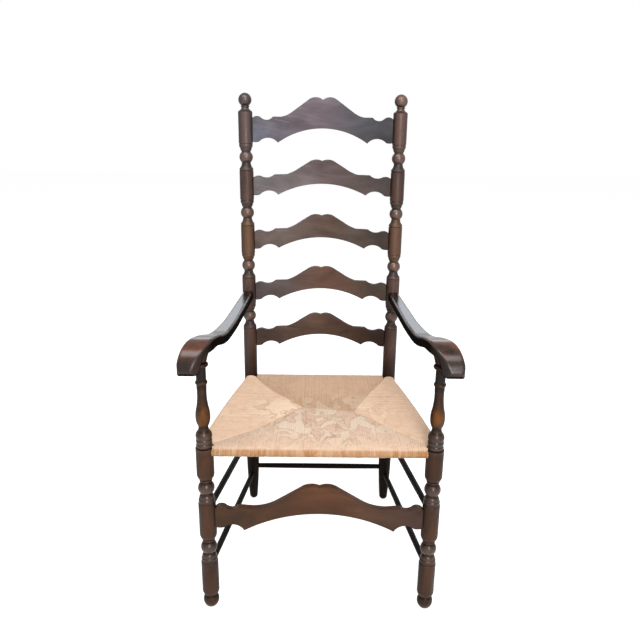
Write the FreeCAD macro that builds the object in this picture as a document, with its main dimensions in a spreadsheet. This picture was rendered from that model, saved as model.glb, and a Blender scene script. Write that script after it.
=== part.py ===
"""Ladderback armchair with turned posts, arched slats and a rush seat.

Frame: millimetres, +Z up, the sitter faces -Y, origin on the floor under the
middle of the chair's box.
"""
import FreeCAD, Part
import math
import os
from types import SimpleNamespace

import Sketcher

os.makedirs("parts", exist_ok=True)
doc = FreeCAD.newDocument("ladderback_chair")
Vector = FreeCAD.Vector

# Driving sizes in millimetres. Each one becomes a named cell of the sheet.
SIZES = {
    # plan of the frame, between the axes of the uprights
    "front_leg_spacing": 530.0,
    "back_post_spacing": 413.0,
    "leg_to_post": 480.0,
    # seat
    "seat_front_height": 440.0,
    "seat_back_height": 421.0,
    "rail_radius": 9.0,
    "rail_tenon_radius": 8.0,
    "rush_thickness": 3.5,
    "rush_front_overhang": 19.0,
    "rush_back_overhang": 12.5,
    "rush_clearance": 0.3,
    "rush_edge_flat": 0.6,
    "rush_side_bow": 4.5,
    "seam_apex_inset": 66.0,
    "seam_apex_depth": 225.0,
    "seam_half_width": 2.5,
    "seam_depth": 1.5,
    "stuffing_margin": 13.0,
    "stuffing_corner": 36.0,
    # joinery
    "joint_clearance": 0.1,
    "joint_gap": 0.8,
    "joint_wall": 1.0,
    "cut_margin": 10.0,
    "turning_margin": 1.0,
    # back posts
    "post_radius": 19.0,
    "post_foot_radius": 12.5,
    "post_foot_flat": 8.0,
    "post_foot_round": 10.0,
    "post_foot_bulge": 1.3,
    "post_taper_height": 170.0,
    "post_taper_bulge": 1.6,
    "lowest_ball_height": 606.5,
    "turning_pitch": 149.5,
    "top_barrel_length": 119.0,
    "post_ball_radius": 18.3,
    "post_neck_radius": 12.3,
    "groove_depth": 1.2,
    "groove_half_width": 1.2,
    "post_turning_reach": 35.5,
    "post_bead_height": 10.5,
    "post_bead_bulge": 1.1,
    "post_quirk": 2.4,
    "post_ovolo_ledge": 1.0,
    "post_ovolo_height": 10.0,
    "post_ovolo_bulge": 0.9,
    "post_cove_height": 13.5,
    "post_cove_bulge": 1.4,
    "post_cove_start": 15.5,
    "post_band_ledge": 1.2,
    "finial_height": 46.0,
    "finial_radius": 17.5,
    "finial_neck_radius": 9.5,
    "finial_cove_height": 8.5,
    "finial_cove_bulge": 1.6,
    "finial_ring_height": 4.5,
    "finial_ring_bulge": 2.0,
    # front legs, each one piece from the ball foot to the arm
    "leg_radius": 20.5,
    "leg_foot_flat": 10.0,
    "leg_foot_height": 33.0,
    "leg_foot_bulge": 6.8,
    "leg_ankle_radius": 14.5,
    "leg_ankle_height": 20.0,
    "leg_ankle_bulge": 2.3,
    "leg_barrel_below_seat": 2.0,
    "leg_ball_drop": 105.0,
    "leg_ball_pitch": 162.0,
    "leg_ball_radius": 19.4,
    "leg_neck_radius": 12.5,
    "leg_ovolo_start": 38.0,
    "leg_ovolo_end": 23.0,
    "leg_ovolo_bulge": 1.8,
    "leg_bead_radius": 14.0,
    "leg_bead_bulge": 1.2,
    "leg_bead_foot": 18.0,
    "leg_dome_start": 16.0,
    "leg_dome_height": 11.0,
    "leg_dome_radius": 17.6,
    "leg_dome_bulge": 1.5,
    "leg_step_height": 6.5,
    "leg_step_bulge": 0.8,
    "leg_groove_drop": 40.0,
    "ring_height": 11.0,
    "ring_depth": 3.3,
    "ring_bulge": 1.5,
    "top_ring_height": 17.5,
    "top_ring_inset": 2.0,
    "top_ring_bulge": 2.6,
    "collar_radius": 14.2,
    "collar_height": 13.5,
    "collar_bulge": 0.8,
    "vase_neck_radius": 11.0,
    "vase_radius": 16.8,
    "vase_shoulder_radius": 13.6,
    "vase_belly_height": 23.5,
    "vase_belly_bulge": 1.6,
    "vase_shoulder_height": 24.0,
    "vase_shoulder_bulge": 0.9,
    "vase_stem_share": 0.59,
    "vase_stem_bulge": 1.5,
    "column_radius": 11.2,
    "bead_half_height": 4.5,
    "bead_bulge": 2.6,
    "column_start": 7.0,
    "top_bead_drop": 32.0,
    "top_bead_bulge": 5.9,
    "capital_neck_radius": 14.5,
    "capital_radius": 21.5,
    "capital_height": 22.0,
    "capital_bulge": 0.8,
    "arm_post_radius": 8.5,
    "arm_post_length": 16.0,
    # slats, heights measured from each slat's middle
    "slat_thickness": 9.0,
    "slat_bow": 22.0,
    "slat_tenon_length": 20.0,
    "slat_shoulder": 1.5,
    "slat_above_ball": 73.0,
    "lowest_slat_rise": 9.0,
    # stretchers
    "rod_radius": 8.0,
    "rod_tenon_radius": 7.2,
    "upper_rod_below_ball": 65.0,
    "upper_rod_drop": 32.0,
    "lower_rod_below_ball": 58.0,
    "lower_rod_drop": 23.0,
    "rear_rod_height": 112.0,
    "front_board_thickness": 14.0,
    "front_board_below_ball": 80.0,
    # arms
    "arm_above_ball": 65.0,
    "arm_thickness": 25.0,
    "arm_tenon_radius": 8.0,
    "arm_back_width": 28.0,
    "arm_dip": 5.0,
    "arm_dip_depth": 130.0,
    "arm_rise": 14.0,
    "arm_crest_depth": 16.0,
    "arm_reach": 58.0,
    "arm_hand_drop": 43.0,
    "arm_hand_depth": 24.0,
    "arm_nose_share": 0.8,
    "arm_hollow_share": 0.55,
    "arm_seat_margin": 0.5,
    "arm_front_margin": 1.0,
    "arm_waist_depth": 240.0,
    "arm_waist_inset": 43.0,
    "arm_waist_width": 32.0,
    "arm_hand_inset": 2.5,
    "arm_hand_width": 53.0,
    "arm_front_outset": 19.2,
    "arm_front_width": 44.4,
    "arm_hand_start": 10.0,
    "arm_corner_length": 13.0,
    "arm_edge_radius": 5.0,
}

# Outlines of the shaped boards. Heights are from the board's middle line and
# lengths from the middle of the chair.
BOARDS = {
    "crest": {
        "end_top": 29.0, "hump_bulge": 4.5, "hump_x": 165.0, "hump_z": 29.5,
        "dip_bulge": 7.0, "point_x": 134.0, "point_z": 32.5, "foot_x": 112.0, "foot_z": 32.5,
        "foot_bulge": 1.8, "rise_x": 84.0, "rise_z": 44.0, "lobe_x": 38.0, "lobe_z": 77.0,
        "lobe_bulge": 6.5, "notch_z": 76.5,
        "end_bottom": 33.0, "heel_x": 172.0, "heel_z": 33.0, "heel_bulge": 1.0,
        "scoop_bulge": 11.5, "tip_x": 121.0, "tip_z": 35.0, "arch": 38.0,
    },
    "slat": {
        "end_top": 23.0, "hump_bulge": 3.5, "hump_x": 164.0, "hump_z": 24.5,
        "dip_bulge": 5.0, "point_x": 131.0, "point_z": 30.5, "foot_x": 98.0, "foot_z": 31.0,
        "foot_bulge": 1.7, "rise_x": 62.0, "rise_z": 48.5, "lobe_x": 36.0, "lobe_z": 64.5,
        "lobe_bulge": 4.8, "notch_z": 67.0,
        "end_bottom": 25.5, "heel_x": 171.0, "heel_z": 24.0, "heel_bulge": 1.0,
        "scoop_bulge": 11.0, "tip_x": 121.0, "tip_z": 24.5, "arch": 30.0,
    },
    "front_board": {
        "end_top": 28.0, "hump_bulge": 6.0, "hump_x": 218.0, "hump_z": 28.0,
        "dip_bulge": 5.0, "point_x": 192.0, "point_z": 31.0, "foot_x": 158.0, "foot_z": 28.0,
        "foot_bulge": 4.5, "rise_x": 98.0, "rise_z": 45.5, "lobe_x": 46.0, "lobe_z": 78.0,
        "lobe_bulge": 6.5, "notch_z": 84.0,
        "end_bottom": 25.0, "heel_x": 226.0, "heel_z": 25.0, "heel_bulge": 1.0,
        "scoop_bulge": 12.0, "tip_x": 178.0, "tip_z": 33.0, "arch": 47.0,
    },
}
for board, values in BOARDS.items():
    for name, value in values.items():
        SIZES[board + "_" + name] = value

sheet = doc.addObject("Spreadsheet::Sheet", "Sizes")
for row, (name, value) in enumerate(SIZES.items(), start=1):
    sheet.set("A%d" % row, name)
    sheet.set("B%d" % row, repr(value))
    sheet.setAlias("B%d" % row, name)
doc.recompute()


class Size:
    """A length that is both a number, to draw with, and a formula of the sheet, to bind to."""

    def __init__(self, value, formula=None):
        self.value = float(value)
        self.formula = formula if formula else "(%r)" % self.value

    def combine(self, other, symbol, value):
        return Size(value, "(%s %s %s)" % (self.formula, symbol, other.formula))

    def __add__(self, other):
        other = as_size(other)
        return self.combine(other, "+", self.value + other.value)

    def __sub__(self, other):
        other = as_size(other)
        return self.combine(other, "-", self.value - other.value)

    def __mul__(self, other):
        other = as_size(other)
        return self.combine(other, "*", self.value * other.value)

    def __truediv__(self, other):
        other = as_size(other)
        return self.combine(other, "/", self.value / other.value)

    def __neg__(self):
        return Size(-self.value, "(0 - %s)" % self.formula)

    def root(self):
        return Size(math.sqrt(self.value), "sqrt(%s)" % self.formula)


def as_size(value):
    """A plain number as a Size; a Size as it is."""
    return value if isinstance(value, Size) else Size(value)


def distance(*steps):
    """Length of the line with these steps along the axes."""
    total = Size(0)
    for step in steps:
        total = total + step * step
    return total.root()


size = SimpleNamespace(**{name: Size(value, "Sizes." + name) for name, value in SIZES.items()})
next_row = [len(SIZES) + 2]


def derived(name, value):
    """Keep a worked-out length as a formula in a cell of its own, so that later formulas stay short."""
    row = next_row[0]
    next_row[0] = row + 1
    sheet.set("A%d" % row, name)
    sheet.set("B%d" % row, "=" + value.formula.replace("Sizes.", ""))
    sheet.setAlias("B%d" % row, name)
    return Size(value.value, "Sizes." + name)


def smooth_bulges(name, points):
    """Bulges of arcs that carry on smoothly from a straight run.

    The run is from the first point to the second. Each arc goes on to the next point and
    starts in the direction in which the one before ended.
    """
    (x0, y0), (x1, y1) = points[:2]
    heading = (derived(name + "_x0", x1 - x0), derived(name + "_y0", y1 - y0))
    bulges = []
    for number, (here, there) in enumerate(zip(points[1:-1], points[2:]), start=1):
        step = (derived("%s_step_x%d" % (name, number), there[0] - here[0]),
                derived("%s_step_y%d" % (name, number), there[1] - here[1]))
        chord = derived("%s_chord%d" % (name, number), distance(*step))
        speed = derived("%s_speed%d" % (name, number), distance(*heading))
        along = derived("%s_along%d" % (name, number), heading[0] * step[0] + heading[1] * step[1])
        across = heading[0] * step[1] - heading[1] * step[0]
        bulges.append(derived(
            "%s_bulge%d" % (name, number), chord / 2 * across / (speed * chord + along)))
        share = derived("%s_share%d" % (name, number), along * 2 / (chord * chord))
        heading = (derived("%s_x%d" % (name, number), step[0] * share - heading[0]),
                   derived("%s_y%d" % (name, number), step[1] * share - heading[1]))
    return bulges


# Places worked out from the driving sizes
leg_x = size.front_leg_spacing / 2
post_x = size.back_post_spacing / 2
back_reach = size.slat_bow + size.slat_thickness / 2
front_y = size.arm_reach - (size.leg_to_post + size.arm_reach + back_reach) / 2
back_y = front_y + size.leg_to_post

roll_radius = size.rail_radius + size.rush_thickness
front_rail_z = size.seat_front_height - roll_radius
back_rail_z = size.seat_back_height - roll_radius

top_ball_z = size.lowest_ball_height + size.turning_pitch * 3
barrel_top_z = top_ball_z + size.top_barrel_length
chair_top_z = barrel_top_z + size.finial_height
arm_z = size.lowest_ball_height + size.arm_above_ball
arm_seat_z = arm_z - size.arm_thickness / 2 + size.arm_rise

leg_barrel_top_z = size.seat_front_height - size.leg_barrel_below_seat
upper_leg_ball_z = leg_barrel_top_z - size.leg_ball_drop
lower_leg_ball_z = upper_leg_ball_z - size.leg_ball_pitch
front_board_z = upper_leg_ball_z - size.front_board_below_ball

# How near to an upright's axis a tenon comes, so that it stays clear of the one beside it
rail_reach = size.rail_tenon_radius + size.joint_clearance + size.joint_wall
rod_reach = size.front_board_thickness / 2 + size.joint_clearance + size.joint_wall
board_reach = size.rod_tenon_radius + size.joint_clearance + size.joint_wall
arm_reach_in_post = size.slat_thickness / 2 + size.joint_clearance + size.joint_wall

created = []


def add(kind, name):
    """A new object of the document, remembered for the checks at the end."""
    item = doc.addObject(kind, name)
    item.Label = name
    created.append(item)
    return item


def bind(item, **formulas):
    """Bind properties to sizes; a double underscore stands for the dot in a property's path."""
    for path, value in formulas.items():
        item.setExpression(path.replace("__", "."), as_size(value).formula)


def place(item, x, y, z):
    """Put an object at a point, without turning it."""
    bind(item, Placement__Base__x=x, Placement__Base__y=y, Placement__Base__z=z)


def place_along(item, start, end, advance=Size(0)):
    """Turn an object's own Z axis from start towards end and move it along by advance."""
    dx, dy, dz = [b - a for a, b in zip(start, end)]
    length = distance(dx, dy, dz)
    base = [a + step * advance / length for a, step in zip(start, (dx, dy, dz))]
    item.setExpression(
        "Placement",
        "placement(vector(%s; %s; %s); rotation(vector(%s; %s; 0); acos(%s)))"
        % (base[0].formula, base[1].formula, base[2].formula,
           (-dy).formula, dx.formula, (dz / length).formula),
    )
    return length


def new_body(name):
    return add("PartDesign::Body", name)


def new_feature(body, kind, name):
    feature = body.newObject(kind, name)
    created.append(feature)
    return feature


def origin_feature(body, role):
    for feature in body.Origin.OriginFeatures:
        if feature.Role == role:
            return feature
    raise ValueError(role)


def new_sketch(body, name, role):
    """A sketch on one of the body's own origin planes."""
    sketch = new_feature(body, "Sketcher::SketchObject", name)
    sketch.AttachmentSupport = (origin_feature(body, role), [""])
    sketch.MapMode = "FlatFace"
    return sketch


class Outline:
    """A closed outline in a sketch, drawn from point to point and bound to the sheet.

    An arc bulges to the right of its direction when its bulge is positive, which is
    outwards on an outline drawn anticlockwise. A side of -1 mirrors the outline.
    """

    def __init__(self, x, y, side=1):
        self.side = side
        self.points = [(as_size(x), as_size(y))]
        self.bulges = []

    def line(self, x, y):
        self.points.append((as_size(x), as_size(y)))
        self.bulges.append(None)

    def arc(self, x, y, bulge):
        self.points.append((as_size(x), as_size(y)))
        self.bulges.append(as_size(bulge))

    def close(self, bulge=None):
        self.bulges.append(as_size(bulge) if bulge is not None else None)

    def draw(self, sketch):
        """Add the outline to a sketch: every corner by its two coordinates, every arc by its radius."""
        count = len(self.points)
        first = sketch.GeometryCount
        starts = []
        ends = []
        radii = []
        for index in range(count):
            here = self.points[index]
            there = self.points[(index + 1) % count]
            bulge = self.bulges[index]
            if bulge is None:
                sketch.addGeometry(Part.LineSegment(self.spot(here), self.spot(there)), False)
                starts.append(1)
                ends.append(2)
                continue
            anticlockwise = bulge.value * self.side > 0
            depth = bulge if bulge.value > 0 else -bulge
            chord = distance(there[0] - here[0], there[1] - here[1])
            radius = chord * chord / (depth * 8) + depth / 2
            sketch.addGeometry(self.arc_shape(here, there, radius.value, depth.value, anticlockwise), False)
            starts.append(1 if anticlockwise else 2)
            ends.append(2 if anticlockwise else 1)
            radii.append((first + index, radius))
        rules = []
        bindings = []
        for index in range(count):
            item = first + index
            after = first + (index + 1) % count
            rules.append(Sketcher.Constraint("Coincident", item, ends[index], after, starts[(index + 1) % count]))
            bindings.append(None)
            x, y = self.points[index]
            x = x * self.side
            rules.append(Sketcher.Constraint("DistanceX", item, starts[index], x.value))
            bindings.append(x)
            rules.append(Sketcher.Constraint("DistanceY", item, starts[index], y.value))
            bindings.append(y)
        for item, radius in radii:
            rules.append(Sketcher.Constraint("Radius", item, radius.value))
            bindings.append(radius)
        numbers = sketch.addConstraint(rules)
        for number, value in zip(numbers, bindings):
            if value is not None:
                sketch.setExpression("Constraints[%d]" % number, value.formula)

    def spot(self, point):
        return Vector(point[0].value * self.side, point[1].value, 0)

    def arc_shape(self, here, there, radius, depth, anticlockwise):
        """The arc between two points, always stored anticlockwise as a sketch keeps it."""
        start = self.spot(here)
        end = self.spot(there)
        if not anticlockwise:
            start, end = end, start
        along = (end - start).normalize()
        right = Vector(along.y, -along.x, 0)
        centre = (start + end) * 0.5 - right * (radius - depth)
        first = math.atan2(start.y - centre.y, start.x - centre.x)
        last = math.atan2(end.y - centre.y, end.x - centre.x)
        circle = Part.Circle(centre, Vector(0, 0, 1), radius)
        return Part.ArcOfCircle(circle, first, last if last > first else last + 2 * math.pi)


def turn(body, name, outline):
    """Revolve an outline of radius against height round the body's Z axis."""
    sketch = new_sketch(body, name + "_profile", "XZ_Plane")
    outline.draw(sketch)
    feature = new_feature(body, "PartDesign::Revolution", name)
    feature.Profile = sketch
    feature.ReferenceAxis = (sketch, ["V_Axis"])
    feature.Angle = 360
    return feature


def turned_waists(body, name, outline, count, pitch):
    """Cut a turned profile into the body, and repeat it downwards at an even pitch."""
    sketch = new_sketch(body, name + "_profile", "XZ_Plane")
    outline.draw(sketch)
    groove = new_feature(body, "PartDesign::Groove", name)
    groove.Profile = sketch
    groove.ReferenceAxis = (sketch, ["V_Axis"])
    groove.Angle = 360
    pattern = new_feature(body, "PartDesign::LinearPattern", name + "_repeated")
    pattern.Originals = [groove]
    pattern.Direction = (origin_feature(body, "Z_Axis"), [""])
    pattern.Reversed = True
    pattern.Occurrences = count
    bind(pattern, Length=pitch * (count - 1))
    body.Tip = pattern
    return pattern


def pad(body, name, role, outline, thickness):
    """A symmetric pad of an outline drawn on one of the body's planes."""
    sketch = new_sketch(body, name + "_outline", role)
    outline.draw(sketch)
    feature = new_feature(body, "PartDesign::Pad", name)
    feature.Profile = sketch
    feature.SideType = "Symmetric"
    bind(feature, Length=thickness)
    return feature


def trim(body, name, role, outline, half_width, low, high):
    """Cut away what lies outside an outline, out to a rectangle round it."""
    sketch = new_sketch(body, name + "_outline", role)
    outline.draw(sketch)
    frame = Outline(-half_width, low)
    frame.line(half_width, low)
    frame.line(half_width, high)
    frame.line(-half_width, high)
    frame.close()
    frame.draw(sketch)
    feature = new_feature(body, "PartDesign::Pocket", name)
    feature.Profile = sketch
    feature.Type = "ThroughAll"
    feature.SideType = "Symmetric"
    return feature


def tool_box(name, x, y, z, length, width, height):
    """A box with its lowest corner at a point, used to cut a mortise."""
    box = add("Part::Box", name)
    bind(box, Length=length, Width=width, Height=height)
    place(box, x, y, z)
    return box


def tool_cylinder(name, radius, start, end, first, last):
    """A cylinder on the line from start to end, between two distances from start."""
    cylinder = add("Part::Cylinder", name)
    place_along(cylinder, start, end, first)
    bind(cylinder, Radius=radius, Height=last - first)
    return cylinder


def cut(name, base, tools):
    """The finished piece: its turned or sawn blank less all its mortises and bores."""
    fusion = add("Part::MultiFuse", name + "_joinery")
    fusion.Shapes = tools
    piece = add("Part::Cut", name)
    piece.Base = base
    piece.Tool = fusion
    return piece


pieces = {}


# Rods and seat rails between two uprights
def rod(name, start, end, radius, tenon_radius, start_reach, start_surface, end_reach, end_surface):
    """A turned rod with a round tenon at each end, and the bore that both tenons need."""
    body = new_body(name)
    length = place_along(body, start, end)
    first = start_reach
    last = length - end_reach
    outline = Outline(0, first)
    outline.line(tenon_radius, first)
    outline.line(tenon_radius, start_surface)
    outline.arc(tenon_radius, length - end_surface, radius - tenon_radius)
    outline.line(tenon_radius, last)
    outline.line(0, last)
    outline.close()
    turn(body, name + "_turning", outline)
    pieces[name] = body
    return tool_cylinder(
        name + "_bore", tenon_radius + size.joint_clearance, start, end,
        first - size.joint_gap, last + size.joint_gap)


SIDES = {"left": -1, "right": 1}
bores = {}
front_left_rail = (-leg_x, front_y, front_rail_z)
front_right_rail = (leg_x, front_y, front_rail_z)
back_left_rail = (-post_x, back_y, back_rail_z)
back_right_rail = (post_x, back_y, back_rail_z)
bores["seat_rail_front"] = rod(
    "seat_rail_front", front_left_rail, front_right_rail, size.rail_radius, size.rail_tenon_radius,
    rail_reach, size.leg_radius, rail_reach, size.leg_radius)
bores["seat_rail_rear"] = rod(
    "seat_rail_rear", back_left_rail, back_right_rail, size.rail_radius, size.rail_tenon_radius,
    rail_reach, size.post_radius, rail_reach, size.post_radius)
bores["rear_stretcher"] = rod(
    "rear_stretcher",
    (-post_x, back_y, size.rear_rod_height), (post_x, back_y, size.rear_rod_height),
    size.rod_radius, size.rod_tenon_radius, rod_reach, size.post_radius, rod_reach, size.post_radius)
upper_rod_z = upper_leg_ball_z - size.upper_rod_below_ball
lower_rod_z = lower_leg_ball_z - size.lower_rod_below_ball
for word, side in SIDES.items():
    leg_side_x = leg_x * side
    post_side_x = post_x * side
    bores["seat_rail_" + word] = rod(
        "seat_rail_" + word,
        (leg_side_x, front_y, front_rail_z), (post_side_x, back_y, back_rail_z),
        size.rail_radius, size.rail_tenon_radius,
        rail_reach, size.leg_radius, rail_reach, size.post_radius)
    for level, height, drop in (("upper", upper_rod_z, size.upper_rod_drop),
                                ("lower", lower_rod_z, size.lower_rod_drop)):
        name = "side_stretcher_%s_%s" % (level, word)
        bores[name] = rod(
            name, (leg_side_x, front_y, height), (post_side_x, back_y, height - drop),
            size.rod_radius, size.rod_tenon_radius,
            rod_reach, size.leg_radius, rod_reach, size.post_radius)


# Shaped boards: five slats and the front stretcher
def board_outline(board, shoulder_x, tenon_x):
    """Front outline of a shaped board, drawn anticlockwise from the right tenon's lower corner."""
    value = {name: getattr(size, board + "_" + name) for name in BOARDS[board]}
    tenon_low = size.slat_shoulder - value["end_bottom"]
    tenon_high = value["end_top"] - size.slat_shoulder
    outline = Outline(tenon_x, tenon_low)
    outline.line(tenon_x, tenon_high)
    outline.line(shoulder_x, tenon_high)
    outline.line(shoulder_x, value["end_top"])
    outline.arc(value["hump_x"], value["hump_z"], value["hump_bulge"])
    outline.arc(value["point_x"], value["point_z"], -value["dip_bulge"])
    outline.line(value["foot_x"], value["foot_z"])
    outline.arc(value["rise_x"], value["rise_z"], -value["foot_bulge"])
    outline.line(value["lobe_x"], value["lobe_z"])
    outline.arc(0, value["notch_z"], value["lobe_bulge"])
    outline.arc(-value["lobe_x"], value["lobe_z"], value["lobe_bulge"])
    outline.line(-value["rise_x"], value["rise_z"])
    outline.arc(-value["foot_x"], value["foot_z"], -value["foot_bulge"])
    outline.line(-value["point_x"], value["point_z"])
    outline.arc(-value["hump_x"], value["hump_z"], -value["dip_bulge"])
    outline.arc(-shoulder_x, value["end_top"], value["hump_bulge"])
    outline.line(-shoulder_x, tenon_high)
    outline.line(-tenon_x, tenon_high)
    outline.line(-tenon_x, tenon_low)
    outline.line(-shoulder_x, tenon_low)
    outline.line(-shoulder_x, -value["end_bottom"])
    outline.arc(-value["heel_x"], -value["heel_z"], value["heel_bulge"])
    outline.arc(-value["tip_x"], -value["tip_z"], -value["scoop_bulge"])
    outline.arc(value["tip_x"], -value["tip_z"], -value["arch"])
    outline.arc(value["heel_x"], -value["heel_z"], -value["scoop_bulge"])
    outline.arc(shoulder_x, -value["end_bottom"], value["heel_bulge"])
    outline.line(shoulder_x, tenon_low)
    outline.close()
    return outline, tenon_low, tenon_high


slat_shoulder_x = post_x - size.post_radius - size.joint_clearance
slat_tenon_x = post_x - size.post_radius + size.slat_tenon_length
bow_radius = post_x * post_x / (size.slat_bow * 2) + size.slat_bow / 2


def bowed_band(half_length, thickness):
    """Plan of a bent slat: two arcs about one centre, cut square at both ends."""
    outer = bow_radius + thickness / 2
    inner = bow_radius - thickness / 2
    centre = size.slat_bow - bow_radius
    outer_end = centre + (outer * outer - half_length * half_length).root()
    inner_end = centre + (inner * inner - half_length * half_length).root()
    outline = Outline(-half_length, inner_end)
    outline.arc(half_length, inner_end, -(centre + inner - inner_end))
    outline.line(half_length, outer_end)
    outline.arc(-half_length, outer_end, centre + outer - outer_end)
    outline.close()
    return outline


slat_mortises = []
for number in range(5):
    name = "slat_%d" % (number + 1)
    board = "crest" if number == 0 else "slat"
    height = top_ball_z + size.slat_above_ball - size.turning_pitch * number
    if number == 4:
        height = height + size.lowest_slat_rise
    outline, low, high = board_outline(board, slat_shoulder_x, slat_tenon_x)
    body = new_body(name)
    place(body, 0, back_y, height)
    blank_half_height = getattr(size, board + "_notch_z") + getattr(size, board + "_lobe_bulge") * 2
    pad(body, name + "_bent_blank", "XY_Plane",
        bowed_band(slat_tenon_x, size.slat_thickness), blank_half_height * 2)
    trim(body, name + "_sawn_outline", "XZ_Plane", outline, slat_tenon_x + size.cut_margin,
         -blank_half_height - size.cut_margin, blank_half_height + size.cut_margin)
    pieces[name] = body
    mortise = new_body(name + "_mortise")
    place(mortise, 0, back_y, height + (low + high) / 2)
    pad(mortise, name + "_mortise_blank", "XY_Plane",
        bowed_band(slat_tenon_x + size.joint_gap, size.slat_thickness + size.joint_clearance * 2),
        high - low + size.joint_clearance * 2)
    slat_mortises.append(mortise)

front_board_shoulder = leg_x - size.leg_radius - size.joint_clearance
front_board_tenon = leg_x - board_reach
outline, low, high = board_outline("front_board", front_board_shoulder, front_board_tenon)
body = new_body("front_stretcher")
place(body, 0, front_y, front_board_z)
pad(body, "front_stretcher_board", "XZ_Plane", outline, size.front_board_thickness)
pieces["front_stretcher"] = body
mortise_half_length = front_board_tenon + size.joint_gap
mortise_half_width = size.front_board_thickness / 2 + size.joint_clearance
front_board_mortise = tool_box(
    "front_stretcher_mortise",
    -mortise_half_length, front_y - mortise_half_width, front_board_z + low - size.joint_clearance,
    mortise_half_length * 2, mortise_half_width * 2, high - low + size.joint_clearance * 2)


# Back posts
def post_blank():
    """Radius against height of a back post before its waists are cut, with foot and finial."""
    radius = size.post_radius
    neck = size.finial_neck_radius
    ring_z = barrel_top_z + size.finial_cove_height
    ball_z = chair_top_z - size.finial_radius
    ball_foot_z = ball_z - (size.finial_radius * size.finial_radius - neck * neck).root()
    outline = Outline(0, 0)
    outline.line(size.post_foot_flat, 0)
    outline.arc(size.post_foot_radius, size.post_foot_round, size.post_foot_bulge)
    outline.arc(radius, size.post_taper_height, size.post_taper_bulge)
    outline.line(radius, barrel_top_z - size.groove_half_width * 2)
    outline.line(radius - size.groove_depth, barrel_top_z - size.groove_half_width)
    outline.line(radius - size.groove_depth / 2, barrel_top_z)
    outline.arc(neck, ring_z, -size.finial_cove_bulge)
    outline.line(neck, ball_foot_z - size.finial_ring_height)
    outline.arc(neck, ball_foot_z, size.finial_ring_bulge)
    outline.arc(size.finial_radius, ball_z, sagitta(
        size.finial_radius, distance(size.finial_radius - neck, ball_z - ball_foot_z)))
    outline.arc(0, chair_top_z, sagitta(
        size.finial_radius, distance(size.finial_radius, size.finial_radius)))
    outline.close()
    return outline


def sagitta(radius, chord):
    """Depth of a circle's arc of this radius over a chord."""
    return radius - (radius * radius - chord * chord / 4).root()


def post_waist():
    """The turned waist between two barrels: bead, ovolo, ball, cove and band."""
    radius = size.post_radius
    neck = size.post_neck_radius
    outside = radius + size.turning_margin
    root = radius - size.groove_depth
    centre = top_ball_z
    reach = size.post_turning_reach
    bead_foot = centre + reach - size.post_bead_height
    ovolo_radius = radius - size.post_quirk - size.post_ovolo_ledge
    ball_half = (size.post_ball_radius * size.post_ball_radius - neck * neck).root()
    cove_foot = centre - size.post_cove_start - size.post_cove_height
    slope = size.groove_half_width * (size.groove_depth + size.turning_margin) / size.groove_depth
    outline = Outline(outside, centre - reach - slope)
    outline.line(outside, centre + reach + slope)
    outline.line(root, centre + reach)
    outline.arc(radius - size.post_quirk, bead_foot, -size.post_bead_bulge)
    outline.line(ovolo_radius, bead_foot)
    outline.arc(neck, bead_foot - size.post_ovolo_height, -size.post_ovolo_bulge)
    outline.line(neck, centre + ball_half)
    outline.arc(neck, centre - ball_half, -(size.post_ball_radius - neck))
    outline.line(neck, centre - size.post_cove_start)
    outline.arc(radius - size.post_band_ledge, cove_foot, size.post_cove_bulge)
    outline.arc(root, centre - reach, -size.post_bead_bulge)
    outline.close()
    return outline


for word, side in SIDES.items():
    name = "back_post_" + word
    body = new_body(name + "_turned")
    place(body, post_x * side, back_y, 0)
    turn(body, name + "_blank", post_blank())
    turned_waists(body, name + "_waist", post_waist(), 4, size.turning_pitch)
    arm_bore = tool_cylinder(
        name + "_arm_bore", size.arm_tenon_radius + size.joint_clearance,
        (post_x * side, back_y, arm_z), (post_x * side, front_y, arm_z),
        arm_reach_in_post - size.joint_gap, size.post_radius + size.cut_margin)
    tools = slat_mortises + [
        arm_bore, bores["seat_rail_rear"], bores["rear_stretcher"], bores["seat_rail_" + word],
        bores["side_stretcher_upper_" + word], bores["side_stretcher_lower_" + word]]
    pieces[name] = cut(name, body, tools)


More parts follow.
